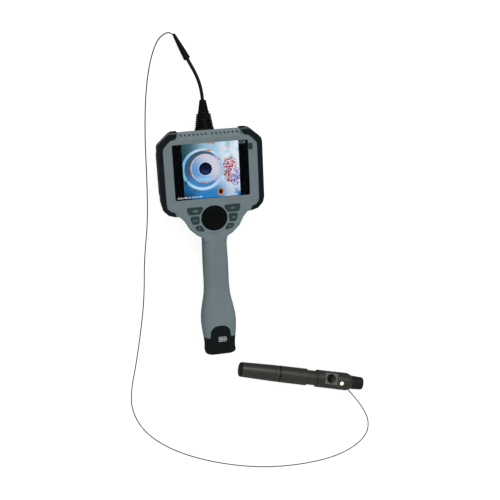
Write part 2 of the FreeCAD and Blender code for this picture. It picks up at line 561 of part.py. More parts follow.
# ---------------------------------------------------------------- cable exit
g = V(GLAND_X, 0, GLAND_Z)
parts["probe_socket"] = turned([(3.2, 41.6), (11.0, 41.6), (11.0, 43.9), (SOCKET_R, 43.9), (SOCKET_R, 53.0),
                                (3.2, 53.0)], g, V(0, 1, 0), V(1, 0, 0))
rib_pitch, rib_count = 2.86, 7
first_rib = 55.0
rib_end = first_rib + (rib_count - 1) * rib_pitch
relief = oval_slab(relief_low, 53.5, RELIEF_A + 0.6, RELIEF_B + 0.1)
relief = relief.fuse(oval_taper(53.4, 8.6, 5.8, rib_end + 2.6, 7.2, 5.6))
relief = relief.fuse(oval_taper(53.4, 5.2, RELIEF_B - 0.1, rib_end + 2.6, 4.6, 6.3))
for k in range(rib_count):
    y = first_rib + k * rib_pitch
    relief = relief.fuse(oval_slab(y - 0.7, y + 0.7, RELIEF_A - k * 0.42, RELIEF_B - k * 0.24))
relief = relief.fuse(oval_slab(rib_end + 2.5, rib_end + 4.1, 7.5, 6.6))
relief = relief.fuse(oval_taper(rib_end + 4.0, 6.9, 6.1, 91.0, 4.5, 4.4)).fuse(
    oval_taper(91.0, 4.5, 4.4, 91.6, 3.9, 3.8))
relief = relief.cut(rod(LEAD_D / 2 + 0.05, (GLAND_X, 40, GLAND_Z), (GLAND_X, 95, GLAND_Z)))
relief = relief.cut(rod(SOCKET_R + 0.1, (GLAND_X, 40, GLAND_Z), (GLAND_X, 53.0 + SEAT, GLAND_Z)))
parts["strain_relief"] = one(relief)

# rubber feet under the back, and one under the swell of the handle
feet = []
for x, y in ((46.0, 30.0), (-46.0, 30.0), (44.0, -40.0), (-44.0, -40.0)):
    feet.append(rod(5.0, (x, y, 0), (x, y, 2.0 - SEAT)))
parts["rest_feet"] = Part.makeCompound(feet)
back_cover = box(-34, 34, -30, 30, 0.0, 2.0 - SEAT)
back_cover = soften(back_cover, 1.0, lambda e: e.BoundBox.ZMax < 0.01)
parts["back_plate"] = back_cover

# ---------------------------------------------------------------- lead, sleeve and insertion tube
LEAD_ROUTE = [(-4.0, 81.0, 20.0), (-4.0, 102.5, 20.1), (-9.4, 123.6, 16.8), (-18.4, 142.2, 11.2),
              (-23.6, 153.3, 8.55)]
lead_end = V(*LEAD_ROUTE[-1]) - V(*LEAD_ROUTE[-2])
lead_end.normalize()
sleeve_start = V(*LEAD_ROUTE[-2]) + lead_end * 3.0
SLEEVE_L = 36.7
LIE = TUBE_D / 2 + 0.05    # height of the axis where the tube lies on the table
TUBE_ROUTE = [(-30.8, 168.8, 4.86), (-36.8, 181.5, 1.85), (-52.9, 175.6, 1.5), (-63.3, 157.3, 0.9),
              (-71.9, 129.3, LIE), (-78.4, 91.9, LIE), (-82.9, 41.8, LIE), (-84.8, -14.5, LIE),
              (-88.3, -73.3, LIE), (-97.9, -130.0, LIE), (-102.7, -188.4, LIE), (-112.2, -241.4, LIE),
              (-123.9, -294.7, LIE), (-133.3, -329.9, LIE), (-136.4, -364.2, LIE),
              (-122.9, -402.0, LIE), (-91.8, -435.3, LIE), (-47.1, -462.6, LIE), (4.2, -483.0, LIE),
              (55.9, -496.2, LIE), (106.8, -501.2, LIE), (156.2, -499.0, LIE), (188.2, -491.6, LIE),
              (213.8, -478.8, LIE), (230.8, -460.5, LIE), (232.5, -436.3, LIE), (222.5, -413.3, 1.2),
              (207.6, -389.2, 5.6), (192.6, -368.7, 11.65)]


def cord(route, d, label):
    """A round cord along the route: straight runs joined by tangent arcs."""
    pts = [V(*p) for p in route]
    edges, cur, radii = [], pts[0], []
    for a, b, c in zip(pts, pts[1:], pts[2:]):
        u, w = a - b, c - b
        short = min(u.Length, w.Length)
        u.normalize()
        w.normalize()
        half = u.getAngle(w) / 2
        t = 0.45 * short
        r = t * math.tan(half)
        bis = u + w
        bis.normalize()
        first, last = b + u * t, b + w * t
        mid = b + bis * (r / math.sin(half) - r)
        edges.append(Part.LineSegment(cur, first).toShape())
        edges.append(Part.Arc(first, mid, last).toShape())
        radii.append(r)
        cur = last
    edges.append(Part.LineSegment(cur, pts[-1]).toShape())
    path = Part.Wire(edges)
    disc = Part.Wire([Part.Circle(pts[0], pts[1] - pts[0], d / 2).toShape()])
    tube = path.makePipeShell([disc], True, False)
    print("%s: length %.1f mm, smallest bend radius %.1f mm, volume %.1f against %.1f mm3"
          % (label, path.Length, min(radii), tube.Volume, path.Length * math.pi * d * d / 4))
    return tube


parts["lead_cable"] = cord(LEAD_ROUTE, LEAD_D, "lead cable")
parts["insertion_tube"] = cord(TUBE_ROUTE, TUBE_D, "insertion tube")
across = lead_end.cross(V(0, 0, 1))
across.normalize()
parts["transition_sleeve"] = turned(
    [(2.36, 0), (3.6, 0), (4.4, 0.9), (4.4, 3.0), (3.9, 12.0), (3.3, 20.0), (1.95, SLEEVE_L - 0.5),
     (1.5, SLEEVE_L), (1.25, SLEEVE_L), (TUBE_D / 2 + 0.06, SLEEVE_L - 4.0), (TUBE_D / 2 + 0.06, 26.4),
     (0, 26.4), (0, 10.0),
     (2.36, 10.0)], sleeve_start, lead_end, across)

# ---------------------------------------------------------------- pen-shaped head
PEN_AT = V(26.0, -312.9, 13.4)
PEN_TURN = -14.893
FLAT_ANGLE, LAMP_ANGLE = 35.0, 8.0
FLAT_S0, FLAT_S1, FLAT_DEPTH = 134.2, 154.6, 10.0
LAMP_S = 161.2
TAIL_S, TAIL_JOINT, RING_S, BARREL_JOINT = 1.5, 3.6, 54.4, 62.8
NOSE_S, NOSE_END = 178.9, 197.6
RECESS_R = 7.2
PEN_FIT = 0.05


def pen_turned(profile):
    return turned([(r, s) for s, r in profile], V(0, 0, 0), V(1, 0, 0), V(0, 0, 1))


def pen_rod(s, angle, r, low, high):
    """A cylinder standing on the pen's axis at s, leaning angle degrees from up."""
    a = math.radians(angle)
    d = V(0, math.sin(a), math.cos(a))
    return Part.makeCylinder(r, high - low, V(s, 0, 0) + d * low, d)


pen = {}
pen["tail_cap"] = pen_turned([(TAIL_S, 0), (TAIL_S, 8.4), (TAIL_S + 0.4, 9.6), (TAIL_S + 1.2, 10.4),
                              (TAIL_JOINT, 10.8), (TAIL_JOINT, 8.25), (6.0, 8.25), (6.0, 7.45), (7.1, 7.45),
                              (7.1, 8.25), (10.4, 8.25), (10.4, 6.4), (5.0, 6.4), (5.0, 0)])
pen["tail_seal"] = pen_turned([(6.05, 7.5), (7.05, 7.5), (7.05, 8.28), (6.05, 8.28)])
pen["rear_barrel"] = pen_turned([(TAIL_JOINT + 0.2, 8.3), (TAIL_JOINT + 0.2, 10.8), (TAIL_JOINT + 1.2, 11.0),
                                 (34.0, 11.85), (RING_S - 0.1, 12.35), (RING_S, 12.1), (RING_S + 0.6, 12.1),
                                 (RING_S + 0.7, 12.35), (BARREL_JOINT - 0.5, 12.4), (BARREL_JOINT, 12.05),
                                 (BARREL_JOINT, 9.3), (14.0, 9.3), (12.0, 8.3)])
pen["front_barrel"] = pen_turned([(BARREL_JOINT - 7.5, 7.9), (BARREL_JOINT - 7.5, 9.25),
                                  (BARREL_JOINT + 0.05, 9.25), (BARREL_JOINT + 0.05, 11.5),
                                  (BARREL_JOINT + 0.7, 11.5), (BARREL_JOINT + 0.7, 12.2),
                                  (BARREL_JOINT + 1.2, 12.5), (106.3, 12.7), (107.4, 12.0), (107.4, 7.9)])
block = pen_turned([(98.0, 6.6), (98.0, 7.85), (107.45, 7.85), (107.45, 11.05), (121.6, 11.05), (123.0, 13.15),
                    (155.6, 13.15), (155.8, 13.0), (156.2, 13.35), (171.8, 13.35), (173.2, 12.8),
                    (NOSE_S - 0.1, 10.5), (NOSE_S - 0.1, 6.4), (NOSE_S + 10.0, 6.4), (NOSE_S + 11.0, 5.6),
                    (NOSE_S + 11.0, 2.0), (168.0, 2.0), (168.0, 6.6)])
face = box(FLAT_S0, FLAT_S1, -20, 20, FLAT_DEPTH, 20)
face.rotate(V(0, 0, 0), V(1, 0, 0), -FLAT_ANGLE)
window_s = (FLAT_S0 + FLAT_S1) / 2
block = cut(block, face, pen_rod(window_s, FLAT_ANGLE, RECESS_R, 6.9, 20),
            pen_rod(window_s, FLAT_ANGLE, 4.3, 2, 20),
            pen_rod(LAMP_S, LAMP_ANGLE, 3.3, 10.6, 20), pen_rod(LAMP_S, LAMP_ANGLE, 2.4, 2, 20))
pen["window_lens"] = pen_rod(window_s, FLAT_ANGLE, RECESS_R - 0.05, 6.95, 8.1)
pen["camera_module"] = pen_rod(window_s, FLAT_ANGLE, 4.2, -1.0, 6.9).fuse(
    box(window_s - 4.6, window_s + 4.6, -5.4, 5.4, -2.4, -1.2).rotate(V(0, 0, 0), V(1, 0, 0), -FLAT_ANGLE))
lens = pen_rod(LAMP_S, LAMP_ANGLE, 3.2, 11.0, 12.7)
pen["lamp_lens"] = soften(lens, 0.9, lambda e: e.BoundBox.Center.z > 12.3 and e.Curve.TypeId == "Part::GeomCircle")
pen["lamp_led"] = pen_rod(LAMP_S, LAMP_ANGLE, 2.3, 5.0, 10.95)
nose = [(NOSE_S, 6.45), (NOSE_S, 10.3)]
for k in range(7):
    s = NOSE_S + 2.0 + k * 2.15
    r = 10.2 - k * 0.09
    nose += [(s, r), (s + 0.25, r - 0.3), (s + 0.65, r - 0.3), (s + 0.9, r)]
nose += [(NOSE_END - 1.4, 9.5), (NOSE_END - 0.4, 8.9), (NOSE_END, 8.0), (NOSE_END, 0), (NOSE_S + 11.9, 0),
         (NOSE_S + 11.9, 6.45)]
pen["nose_cap"] = pen_turned(nose)
pen["pen_board"] = box(70.0, 104.0, -6.5, 6.5, -0.6, 0.6).fuse(box(70.0, 96.0, -7.82, 7.82, -0.6, 0.6))
place = FreeCAD.Placement(PEN_AT, FreeCAD.Rotation(V(0, 0, 1), PEN_TURN))
for name in pen:
    pen[name].Placement = place.multiply(pen[name].Placement)
block.Placement = place.multiply(block.Placement)

tube_dir = V(*TUBE_ROUTE[-1]) - V(*TUBE_ROUTE[-2])
tube_dir.normalize()
tube_end = V(*TUBE_ROUTE[-1])
gland_hole = Part.makeCylinder(1.75, 12.0, tube_end - tube_dir * 6.0, tube_dir)
pen["head_block"] = one(block.cut(gland_hole))
gland = Part.makeCylinder(1.7, 7.4, tube_end - tube_dir * 3.2, tube_dir)
gland = gland.cut(Part.makeCylinder(TUBE_D / 2 + 0.05, 3.3, tube_end - tube_dir * 3.25, tube_dir))
pen["tube_gland"] = gland
for name, shape in pen.items():
    parts[name] = one(shape)

# ---------------------------------------------------------------- write the pieces
os.makedirs("parts", exist_ok=True)
for name, shape in parts.items():
    shape.exportStep("parts/%s.step" % name)
    solids = shape.Solids
    bb = shape.BoundBox
    flag = "" if shape.isValid() else "  NOT VALID"
    print("%-20s %2d solids %10.1f mm3  x %7.1f %7.1f  y %7.1f %7.1f  z %6.2f %6.2f%s"
          % (name, len(solids), shape.Volume, bb.XMin, bb.XMax, bb.YMin, bb.YMax, bb.ZMin, bb.ZMax, flag))
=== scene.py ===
# %% [markdown]
# # A handheld inspection videoscope
# The object is a handheld videoscope: a screen on a handle, a thin
# insertion tube that leaves its top edge, and a pen-shaped metal head at the
# tube's far end. The construction comes packed from CAD and stays as it is.
# This lesson dresses it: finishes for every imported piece, the two cords as
# smooth curves, the lit picture, the printed marks and the small moulded
# details that a casing has. All lengths are in metres.

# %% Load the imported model
import json
import math

import bmesh
import bpy
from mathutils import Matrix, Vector

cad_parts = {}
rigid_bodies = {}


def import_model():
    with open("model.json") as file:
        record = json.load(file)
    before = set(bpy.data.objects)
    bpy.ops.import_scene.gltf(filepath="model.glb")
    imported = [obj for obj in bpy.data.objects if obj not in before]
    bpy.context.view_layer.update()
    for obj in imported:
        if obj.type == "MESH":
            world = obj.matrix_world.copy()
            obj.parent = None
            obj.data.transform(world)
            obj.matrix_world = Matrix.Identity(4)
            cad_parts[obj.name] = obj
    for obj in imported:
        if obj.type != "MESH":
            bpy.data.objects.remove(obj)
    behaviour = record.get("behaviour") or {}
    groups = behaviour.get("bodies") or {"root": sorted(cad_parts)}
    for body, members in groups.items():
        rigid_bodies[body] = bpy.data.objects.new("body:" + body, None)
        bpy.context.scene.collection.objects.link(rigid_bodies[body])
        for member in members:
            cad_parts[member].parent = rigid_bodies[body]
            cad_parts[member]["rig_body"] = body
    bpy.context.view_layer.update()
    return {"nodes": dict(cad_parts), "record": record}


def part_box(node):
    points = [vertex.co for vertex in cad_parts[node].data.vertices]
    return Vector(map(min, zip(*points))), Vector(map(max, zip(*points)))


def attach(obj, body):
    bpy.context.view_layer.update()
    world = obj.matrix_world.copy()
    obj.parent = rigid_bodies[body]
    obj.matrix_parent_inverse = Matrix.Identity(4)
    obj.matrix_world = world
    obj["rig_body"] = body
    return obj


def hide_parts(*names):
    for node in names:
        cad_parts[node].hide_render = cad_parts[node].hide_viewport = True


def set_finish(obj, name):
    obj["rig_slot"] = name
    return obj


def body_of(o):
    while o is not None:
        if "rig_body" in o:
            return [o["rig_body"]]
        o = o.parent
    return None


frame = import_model()
nodes = frame["nodes"]
MM = 0.001

# %% [markdown]
# ## The camera
# The videoscope lies on its back and is seen from above, with the handle
# towards the viewer. A long lens keeps the screen's edges nearly parallel, as
# in a catalogue picture. The camera turns about Z first, then Y, then X, so
# its three angles can be read as a small roll and two small tilts.

# %% Camera
CAMERA_TURN = (-19.8, -9.1, -5.81)
CAMERA_PLACE = (-0.14521, 0.28919, 1.17021)
LENS = 62.99
bpy.ops.object.select_all(action="DESELECT")
camera_data = bpy.data.cameras.new("catalogue_camera")
camera = bpy.data.objects.new("catalogue_camera", camera_data)
bpy.context.scene.collection.objects.link(camera)
camera.rotation_mode = "ZYX"
camera.rotation_euler = [math.radians(angle) for angle in CAMERA_TURN]
camera.location = CAMERA_PLACE
camera_data.sensor_width = 36.0
camera_data.lens = LENS
bpy.context.scene.camera = camera
print("camera looks along", [round(v, 3) for v in (camera.rotation_euler.to_matrix() @ Vector((0, 0, -1)))])

# %% [markdown]
# ## Light and floor
# Plain studio light is a white sky plus one wide lamp. The sky lights every
# side, and the lamp, high on the side of the cables, gives the soft highlights
# along round pieces. A sky that camera rays see as pure white makes the pale
# background, while a lower strength lights the object, so colours stay as
# they are written.

# %% World and lamp
SKY_LIGHT = 0.62
SUN_STRENGTH = 1.55
SUN_SPREAD = 35
SUN_FROM = (0.15, 0.78, 0.62)
world = bpy.data.worlds.new("white_sky")
bpy.context.scene.world = world
world.use_nodes = True
sky = world.node_tree
sky.nodes.clear()
sky_path = sky.nodes.new("ShaderNodeLightPath")
sky_seen = sky.nodes.new("ShaderNodeMath")
sky_seen.operation = "MAXIMUM"
sky_strength = sky.nodes.new("ShaderNodeMapRange")
sky_strength.inputs["To Min"].default_value = SKY_LIGHT
sky_strength.inputs["To Max"].default_value = 1.0
sky_back = sky.nodes.new("ShaderNodeBackground")
sky_out = sky.nodes.new("ShaderNodeOutputWorld")
sky.links.new(sky_path.outputs["Is Camera Ray"], sky_seen.inputs[0])
sky.links.new(sky_path.outputs["Is Transmission Ray"], sky_seen.inputs[1])
sky.links.new(sky_seen.outputs[0], sky_strength.inputs["Value"])
sky.links.new(sky_strength.outputs[0], sky_back.inputs["Strength"])
sky_back.inputs["Color"].default_value = (1, 1, 1, 1)
sky.links.new(sky_back.outputs[0], sky_out.inputs["Surface"])
bpy.context.scene.view_settings.view_transform = "Standard"

lamp_data = bpy.data.lights.new("soft_key", "SUN")
lamp_data.energy = SUN_STRENGTH
lamp_data.angle = math.radians(SUN_SPREAD)
lamp = bpy.data.objects.new("soft_key", lamp_data)
bpy.context.scene.collection.objects.link(lamp)
lamp.rotation_euler = Vector(SUN_FROM).to_track_quat("Z", "Y").to_euler()

# %% Floor
FLOOR_SIZE = 12.0
FLOOR_GREY = 0.36
FLOOR_GLOW = 0.82
bpy.ops.mesh.primitive_plane_add(size=FLOOR_SIZE, location=(0, 0, 0))
floor = bpy.context.object
floor.name = "studio_floor"
floor_paint = bpy.data.materials.new("studio_floor")
floor_paint.use_nodes = True
floor.data.materials.append(floor_paint)
ft = floor_paint.node_tree
floor_bsdf = ft.nodes["Principled BSDF"]
floor_bsdf.inputs["Base Color"].default_value = (FLOOR_GREY, FLOOR_GREY, FLOOR_GREY, 1)
floor_bsdf.inputs["Roughness"].default_value = 1.0
floor_bsdf.inputs["Specular IOR Level"].default_value = 0.0
floor_path = ft.nodes.new("ShaderNodeLightPath")
floor_glow = ft.nodes.new("ShaderNodeMath")
floor_glow.operation = "MULTIPLY"
floor_glow.inputs[1].default_value = FLOOR_GLOW
ft.links.new(floor_path.outputs["Is Camera Ray"], floor_glow.inputs[0])
ft.links.new(floor_glow.outputs[0], floor_bsdf.inputs["Emission Strength"])
floor_bsdf.inputs["Emission Color"].default_value = (1, 1, 1, 1)

# %% [markdown]
# ## The cords
# Two cords leave the top edge. The first is a short rubber-covered lead, the
# second a thin black insertion tube that sweeps round the object in one long
# loose curve and ends in the pen-shaped head. A NURBS spline of order 3
# through a few control points gives a line without kinks, and a round bevel
# gives its thickness: the bevel is one metre and each point's radius is the
# cord's own, so the curve's box fits it. The points are the same as in the
# construction.

# %% Cord curves
LEAD_ROUTE = [(-4, 81, 20), (-4, 102.5, 20.1), (-9.4, 123.6, 16.8), (-18.4, 142.2, 11.2),
              (-23.6, 153.3, 8.55)]
TUBE_D = 0.0015
LIE = TUBE_D / 2 / MM + 0.05
TUBE_ROUTE = [(-30.8, 168.8, 4.86), (-36.8, 181.5, 1.85), (-52.9, 175.6, 1.5), (-63.3, 157.3, 0.9),
              (-71.9, 129.3, LIE), (-78.4, 91.9, LIE), (-82.9, 41.8, LIE), (-84.8, -14.5, LIE),
              (-88.3, -73.3, LIE), (-97.9, -130.0, LIE), (-102.7, -188.4, LIE),
              (-112.2, -241.4, LIE), (-123.9, -294.7, LIE), (-133.3, -329.9, LIE),
              (-136.4, -364.2, LIE), (-122.9, -402.0, LIE), (-91.8, -435.3, LIE),
              (-47.1, -462.6, LIE), (4.2, -483.0, LIE), (55.9, -496.2, LIE),
              (106.8, -501.2, LIE), (156.2, -499.0, LIE), (188.2, -491.6, LIE),
              (213.8, -478.8, LIE), (230.8, -460.5, LIE), (232.5, -436.3, LIE),
              (222.5, -413.3, 1.2), (207.6, -389.2, 5.6), (192.6, -368.7, 11.65)]


def cord_curve(name, route, diameter):
    """A round cord along a smooth spline whose control points are the route, given in millimetres."""
    data = bpy.data.curves.new(name, "CURVE")
    data.dimensions = "3D"
    data.resolution_u = 12
    data.bevel_depth = 1.0
    data.bevel_resolution = 6
    data.use_fill_caps = True
    spline = data.splines.new("NURBS")
    spline.points.add(len(route) - 1)
    for point, place in zip(spline.points, route):
        point.co = (*[v * MM for v in place], 1.0)
        point.radius = diameter / 2
    spline.order_u = 3
    spline.use_endpoint_u = True
    piece = bpy.data.objects.new(name, data)
    bpy.context.scene.collection.objects.link(piece)
    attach(piece, "handset")
    return piece


LEAD_D = 0.0046
lead = cord_curve("lead_cord", LEAD_ROUTE, LEAD_D)
tube = cord_curve("probe_tube", TUBE_ROUTE, TUBE_D)
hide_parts("lead_cable")
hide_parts("insertion_tube")
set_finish(lead, "lead_black")
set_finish(tube, "tube_dark")

# %% [markdown]
# ## Small helpers for shader nodes
# Every finish here is made of nodes, so that it holds at any distance and from
# any side. Short helpers keep the node code readable: among them, one adds a
# node and fills its sockets, one mixes two colours, and one turns a value into
# a soft mask between two limits.

# %% Node helpers
def colour(red, green, blue):
    """A screen colour from 0 to 255 per channel as the linear colour that shaders use."""
    linear = [v / 255 / 12.92 if v <= 10 else ((v / 255 + 0.055) / 1.055) ** 2.4
              for v in (red, green, blue)]
    return (*linear, 1.0)


def put(tree, kind, sockets=None, **settings):
    """Adds a shader node; a socket is given a plain value or another node's output."""
    made = tree.nodes.new("ShaderNode" + kind)
    for name, value in settings.items():
        setattr(made, name, value)
    for name, value in (sockets or {}).items():
        if isinstance(value, bpy.types.NodeSocket):
            tree.links.new(value, made.inputs[name])
        else:
            made.inputs[name].default_value = value
    return made


def mix(tree, cover, below, above):
    return put(tree, "Mix", {0: cover, 6: below, 7: above}, data_type="RGBA").outputs[2]


def sums(tree, operation, a, b):
    return put(tree, "Math", {0: a, 1: b}, operation=operation).outputs[0]


def mask(tree, value, low, high, start=0.0, end=1.0):
    """Goes smoothly from start to end while the value goes from low to high."""
    return put(tree, "MapRange", {"Value": value, "From Min": low, "From Max": high, "To Min": start,
                                  "To Max": end}, interpolation_type="SMOOTHSTEP").outputs["Result"]


def noise(tree, place, scale, detail=2.0, out="Fac", **more):
    return put(tree, "TexNoise", {"Vector": place, "Scale": scale, "Detail": detail, **more}).outputs[out]


def new_group(name, takes, gives):
    """An empty node group with named inputs and outputs."""
    tree = bpy.data.node_groups.new(name, "ShaderNodeTree")
    for label, kind, value in takes:
        tree.interface.new_socket(name=label, in_out="INPUT", socket_type=kind).default_value = value
    for label, kind in gives:
        tree.interface.new_socket(name=label, in_out="OUTPUT", socket_type=kind)
    start = tree.nodes.new("NodeGroupInput")
    end = tree.nodes.new("NodeGroupOutput")
    return tree, start.outputs, end.inputs


# %% [markdown]
# ## Moulded skin
# A casing of this kind is moulded from filled plastic or rubber with a spark
# eroded grain. Close up there is a fine pebble, a faint cloudiness in the
# colour, and a slightly paler line along the edges: partly wear where hands
# have rubbed them, partly a painted highlight where edges catch the light,
# strongest on the bumpers and the ribs of the strain relief. One node group
# makes all three. The bevel node also rounds the light on edges that the
# construction leaves sharp, as a real mould does.

# %% Moulded skin group
FLOAT, COLOUR, VECTOR = "NodeSocketFloat", "NodeSocketColor", "NodeSocketVector"
skin, takes, gives = new_group(
    "moulded_skin",
    [("Colour", COLOUR, (0.5, 0.5, 0.5, 1)), ("Edge Colour", COLOUR, (0.8, 0.8, 0.8, 1)),
     ("Roughness", FLOAT, 0.6), ("Cloud", FLOAT, 0.05), ("Grain", FLOAT, 0.3), ("Wear And Sheen", FLOAT, 0.4)],
    [("Colour", COLOUR), ("Roughness", FLOAT), ("Normal", VECTOR)])
EDGE_ROUND = 0.0005
GRAIN_DEPTH = 0.00006
place = put(skin, "TexCoord").outputs["Object"]
cloud = noise(skin, place, 75.0, 4.0)
fine = noise(skin, place, 1500.0, 2.0)
cloud_low = sums(skin, "SUBTRACT", 1.0, takes["Cloud"])
cloud_high = sums(skin, "ADD", 1.0, takes["Cloud"])
shade = put(skin, "MapRange", {"Value": cloud, "From Min": 0.3, "From Max": 0.7, "To Min": cloud_low,
                               "To Max": cloud_high}).outputs["Result"]
clouded = put(skin, "VectorMath", {0: takes["Colour"], 3: shade}, operation="SCALE").outputs[0]
rounded = put(skin, "Bevel", {"Radius": EDGE_ROUND}, samples=6).outputs["Normal"]
true_normal = put(skin, "NewGeometry").outputs["True Normal"]
facing = put(skin, "VectorMath", {0: rounded, 1: true_normal}, operation="DOT_PRODUCT").outputs["Value"]
# Paler edges: partly rubbed wear, partly a painted highlight along edges that catch the light.
edge = mask(skin, facing, 0.985, 0.80)
edge_rub_and_sheen = sums(skin, "MULTIPLY", edge, mask(skin, noise(skin, place, 210.0, 3.0), 0.35, 0.62))
edge_rub_and_sheen = sums(skin, "MULTIPLY", edge_rub_and_sheen, takes["Wear And Sheen"])
skin.links.new(mix(skin, edge_rub_and_sheen, clouded, takes["Edge Colour"]), gives["Colour"])
uneven = mask(skin, fine, 0.3, 0.7, -0.06, 0.06)
skin.links.new(sums(skin, "ADD", takes["Roughness"], uneven), gives["Roughness"])
pebble = put(skin, "Bump", {"Strength": takes["Grain"], "Distance": GRAIN_DEPTH, "Height": fine,
                            "Normal": rounded})
skin.links.new(pebble.outputs["Normal"], gives["Normal"])

# %% [markdown]
# ## Turned and brushed metal
# The pen-shaped head is turned from bar, blasted and anodised. The lathe
# leaves rings round its axis, so the ring pattern is a noise that changes
# along the axis only: a Mapping node turns the coordinates into the head's own
# direction and squeezes the pattern across it.

# %% Turned metal group
PEN_TURN = -14.893
RING_DEPTH = 0.00004
turned, takes, gives = new_group(
    "turned_metal",
    [("Colour", COLOUR, (0.5, 0.5, 0.5, 1)), ("Edge Colour", COLOUR, (0.8, 0.8, 0.8, 1)),
     ("Roughness", FLOAT, 0.4), ("Rings", FLOAT, 0.3), ("Wear And Sheen", FLOAT, 0.4)],
    [("Colour", COLOUR), ("Roughness", FLOAT), ("Normal", VECTOR)])
place = put(turned, "TexCoord").outputs["Object"]
along = put(turned, "Mapping", {"Vector": place, "Rotation": (0, 0, math.radians(-PEN_TURN))}).outputs[0]
squeezed = put(turned, "VectorMath", {0: along, 1: (1.0, 0.02, 0.02)}, operation="MULTIPLY").outputs[0]
rings = noise(turned, squeezed, 2600.0, 3.0)
blast = noise(turned, place, 1900.0, 2.0)
stain = noise(turned, place, 55.0, 4.0)
shade = mask(turned, stain, 0.3, 0.72, 0.86, 1.12)
stained = put(turned, "VectorMath", {0: takes["Colour"], 3: shade}, operation="SCALE").outputs[0]
rounded = put(turned, "Bevel", {"Radius": EDGE_ROUND}, samples=6).outputs["Normal"]
true_normal = put(turned, "NewGeometry").outputs["True Normal"]
facing = put(turned, "VectorMath", {0: rounded, 1: true_normal}, operation="DOT_PRODUCT").outputs["Value"]
edge_rub_and_sheen = sums(turned, "MULTIPLY", mask(turned, facing, 0.985, 0.80), mask(turned, stain, 0.3, 0.6))
edge_rub_and_sheen = sums(turned, "MULTIPLY", edge_rub_and_sheen, takes["Wear And Sheen"])
turned.links.new(mix(turned, edge_rub_and_sheen, stained, takes["Edge Colour"]), gives["Colour"])
grit = put(turned, "Math", {0: rings, 1: 0.12, 2: takes["Roughness"]}, operation="MULTIPLY_ADD").outputs[0]
turned.links.new(sums(turned, "ADD", grit, -0.06), gives["Roughness"])
relief = sums(turned, "ADD", rings, sums(turned, "MULTIPLY", blast, 0.8))
lathe = put(turned, "Bump", {"Strength": takes["Rings"], "Distance": RING_DEPTH, "Height": relief,
                             "Normal": rounded})
turned.links.new(lathe.outputs["Normal"], gives["Normal"])


# %% [markdown]
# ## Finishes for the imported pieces
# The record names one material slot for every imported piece. A table gives each
# slot its colour, and two builders turn a row of the table into a material:
# moulded plastic or rubber, and metal. Dark rubber is given a low specular
# level, because it swallows the white studio instead of mirroring it.

# %% Material builders
def blank(name):
    paint = bpy.data.materials.new(name)
    paint.use_nodes = True
    return paint, paint.node_tree, paint.node_tree.nodes["Principled BSDF"]


def use_group(tree, group, sockets):
    made = tree.nodes.new("ShaderNodeGroup")
    made.node_tree = group
    for name, value in sockets.items():
        made.inputs[name].default_value = value
    return made


def connect(tree, made, bsdf):
    tree.links.new(made.outputs["Colour"], bsdf.inputs["Base Color"])
    tree.links.new(made.outputs["Roughness"], bsdf.inputs["Roughness"])
    tree.links.new(made.outputs["Normal"], bsdf.inputs["Normal"])


def paler(value, lift):
    return tuple(v + (1 - v) * lift for v in value[:3]) + (1.0,)


def moulded(name, tint, roughness=0.6, specular=0.3, cloud=0.05, grain=0.35, wear_and_sheen=0.35, lift=0.12):
    paint, tree, bsdf = blank(name)
    connect(tree, use_group(tree, skin, {
        "Colour": tint, "Edge Colour": paler(tint, lift), "Roughness": roughness, "Cloud": cloud,
        "Grain": grain, "Wear And Sheen": wear_and_sheen}), bsdf)
    bsdf.inputs["Specular IOR Level"].default_value = specular
    return paint


def metal(name, tint, roughness=0.35, metallic=1.0, rings=0.3, wear_and_sheen=0.5, specular=0.5, lift=0.25):
    paint, tree, bsdf = blank(name)
    connect(tree, use_group(tree, turned, {
        "Colour": tint, "Edge Colour": paler(tint, lift), "Roughness": roughness, "Rings": rings,
        "Wear And Sheen": wear_and_sheen}), bsdf)
    bsdf.inputs["Metallic"].default_value = metallic
    bsdf.inputs["Specular IOR Level"].default_value = specular
    return paint


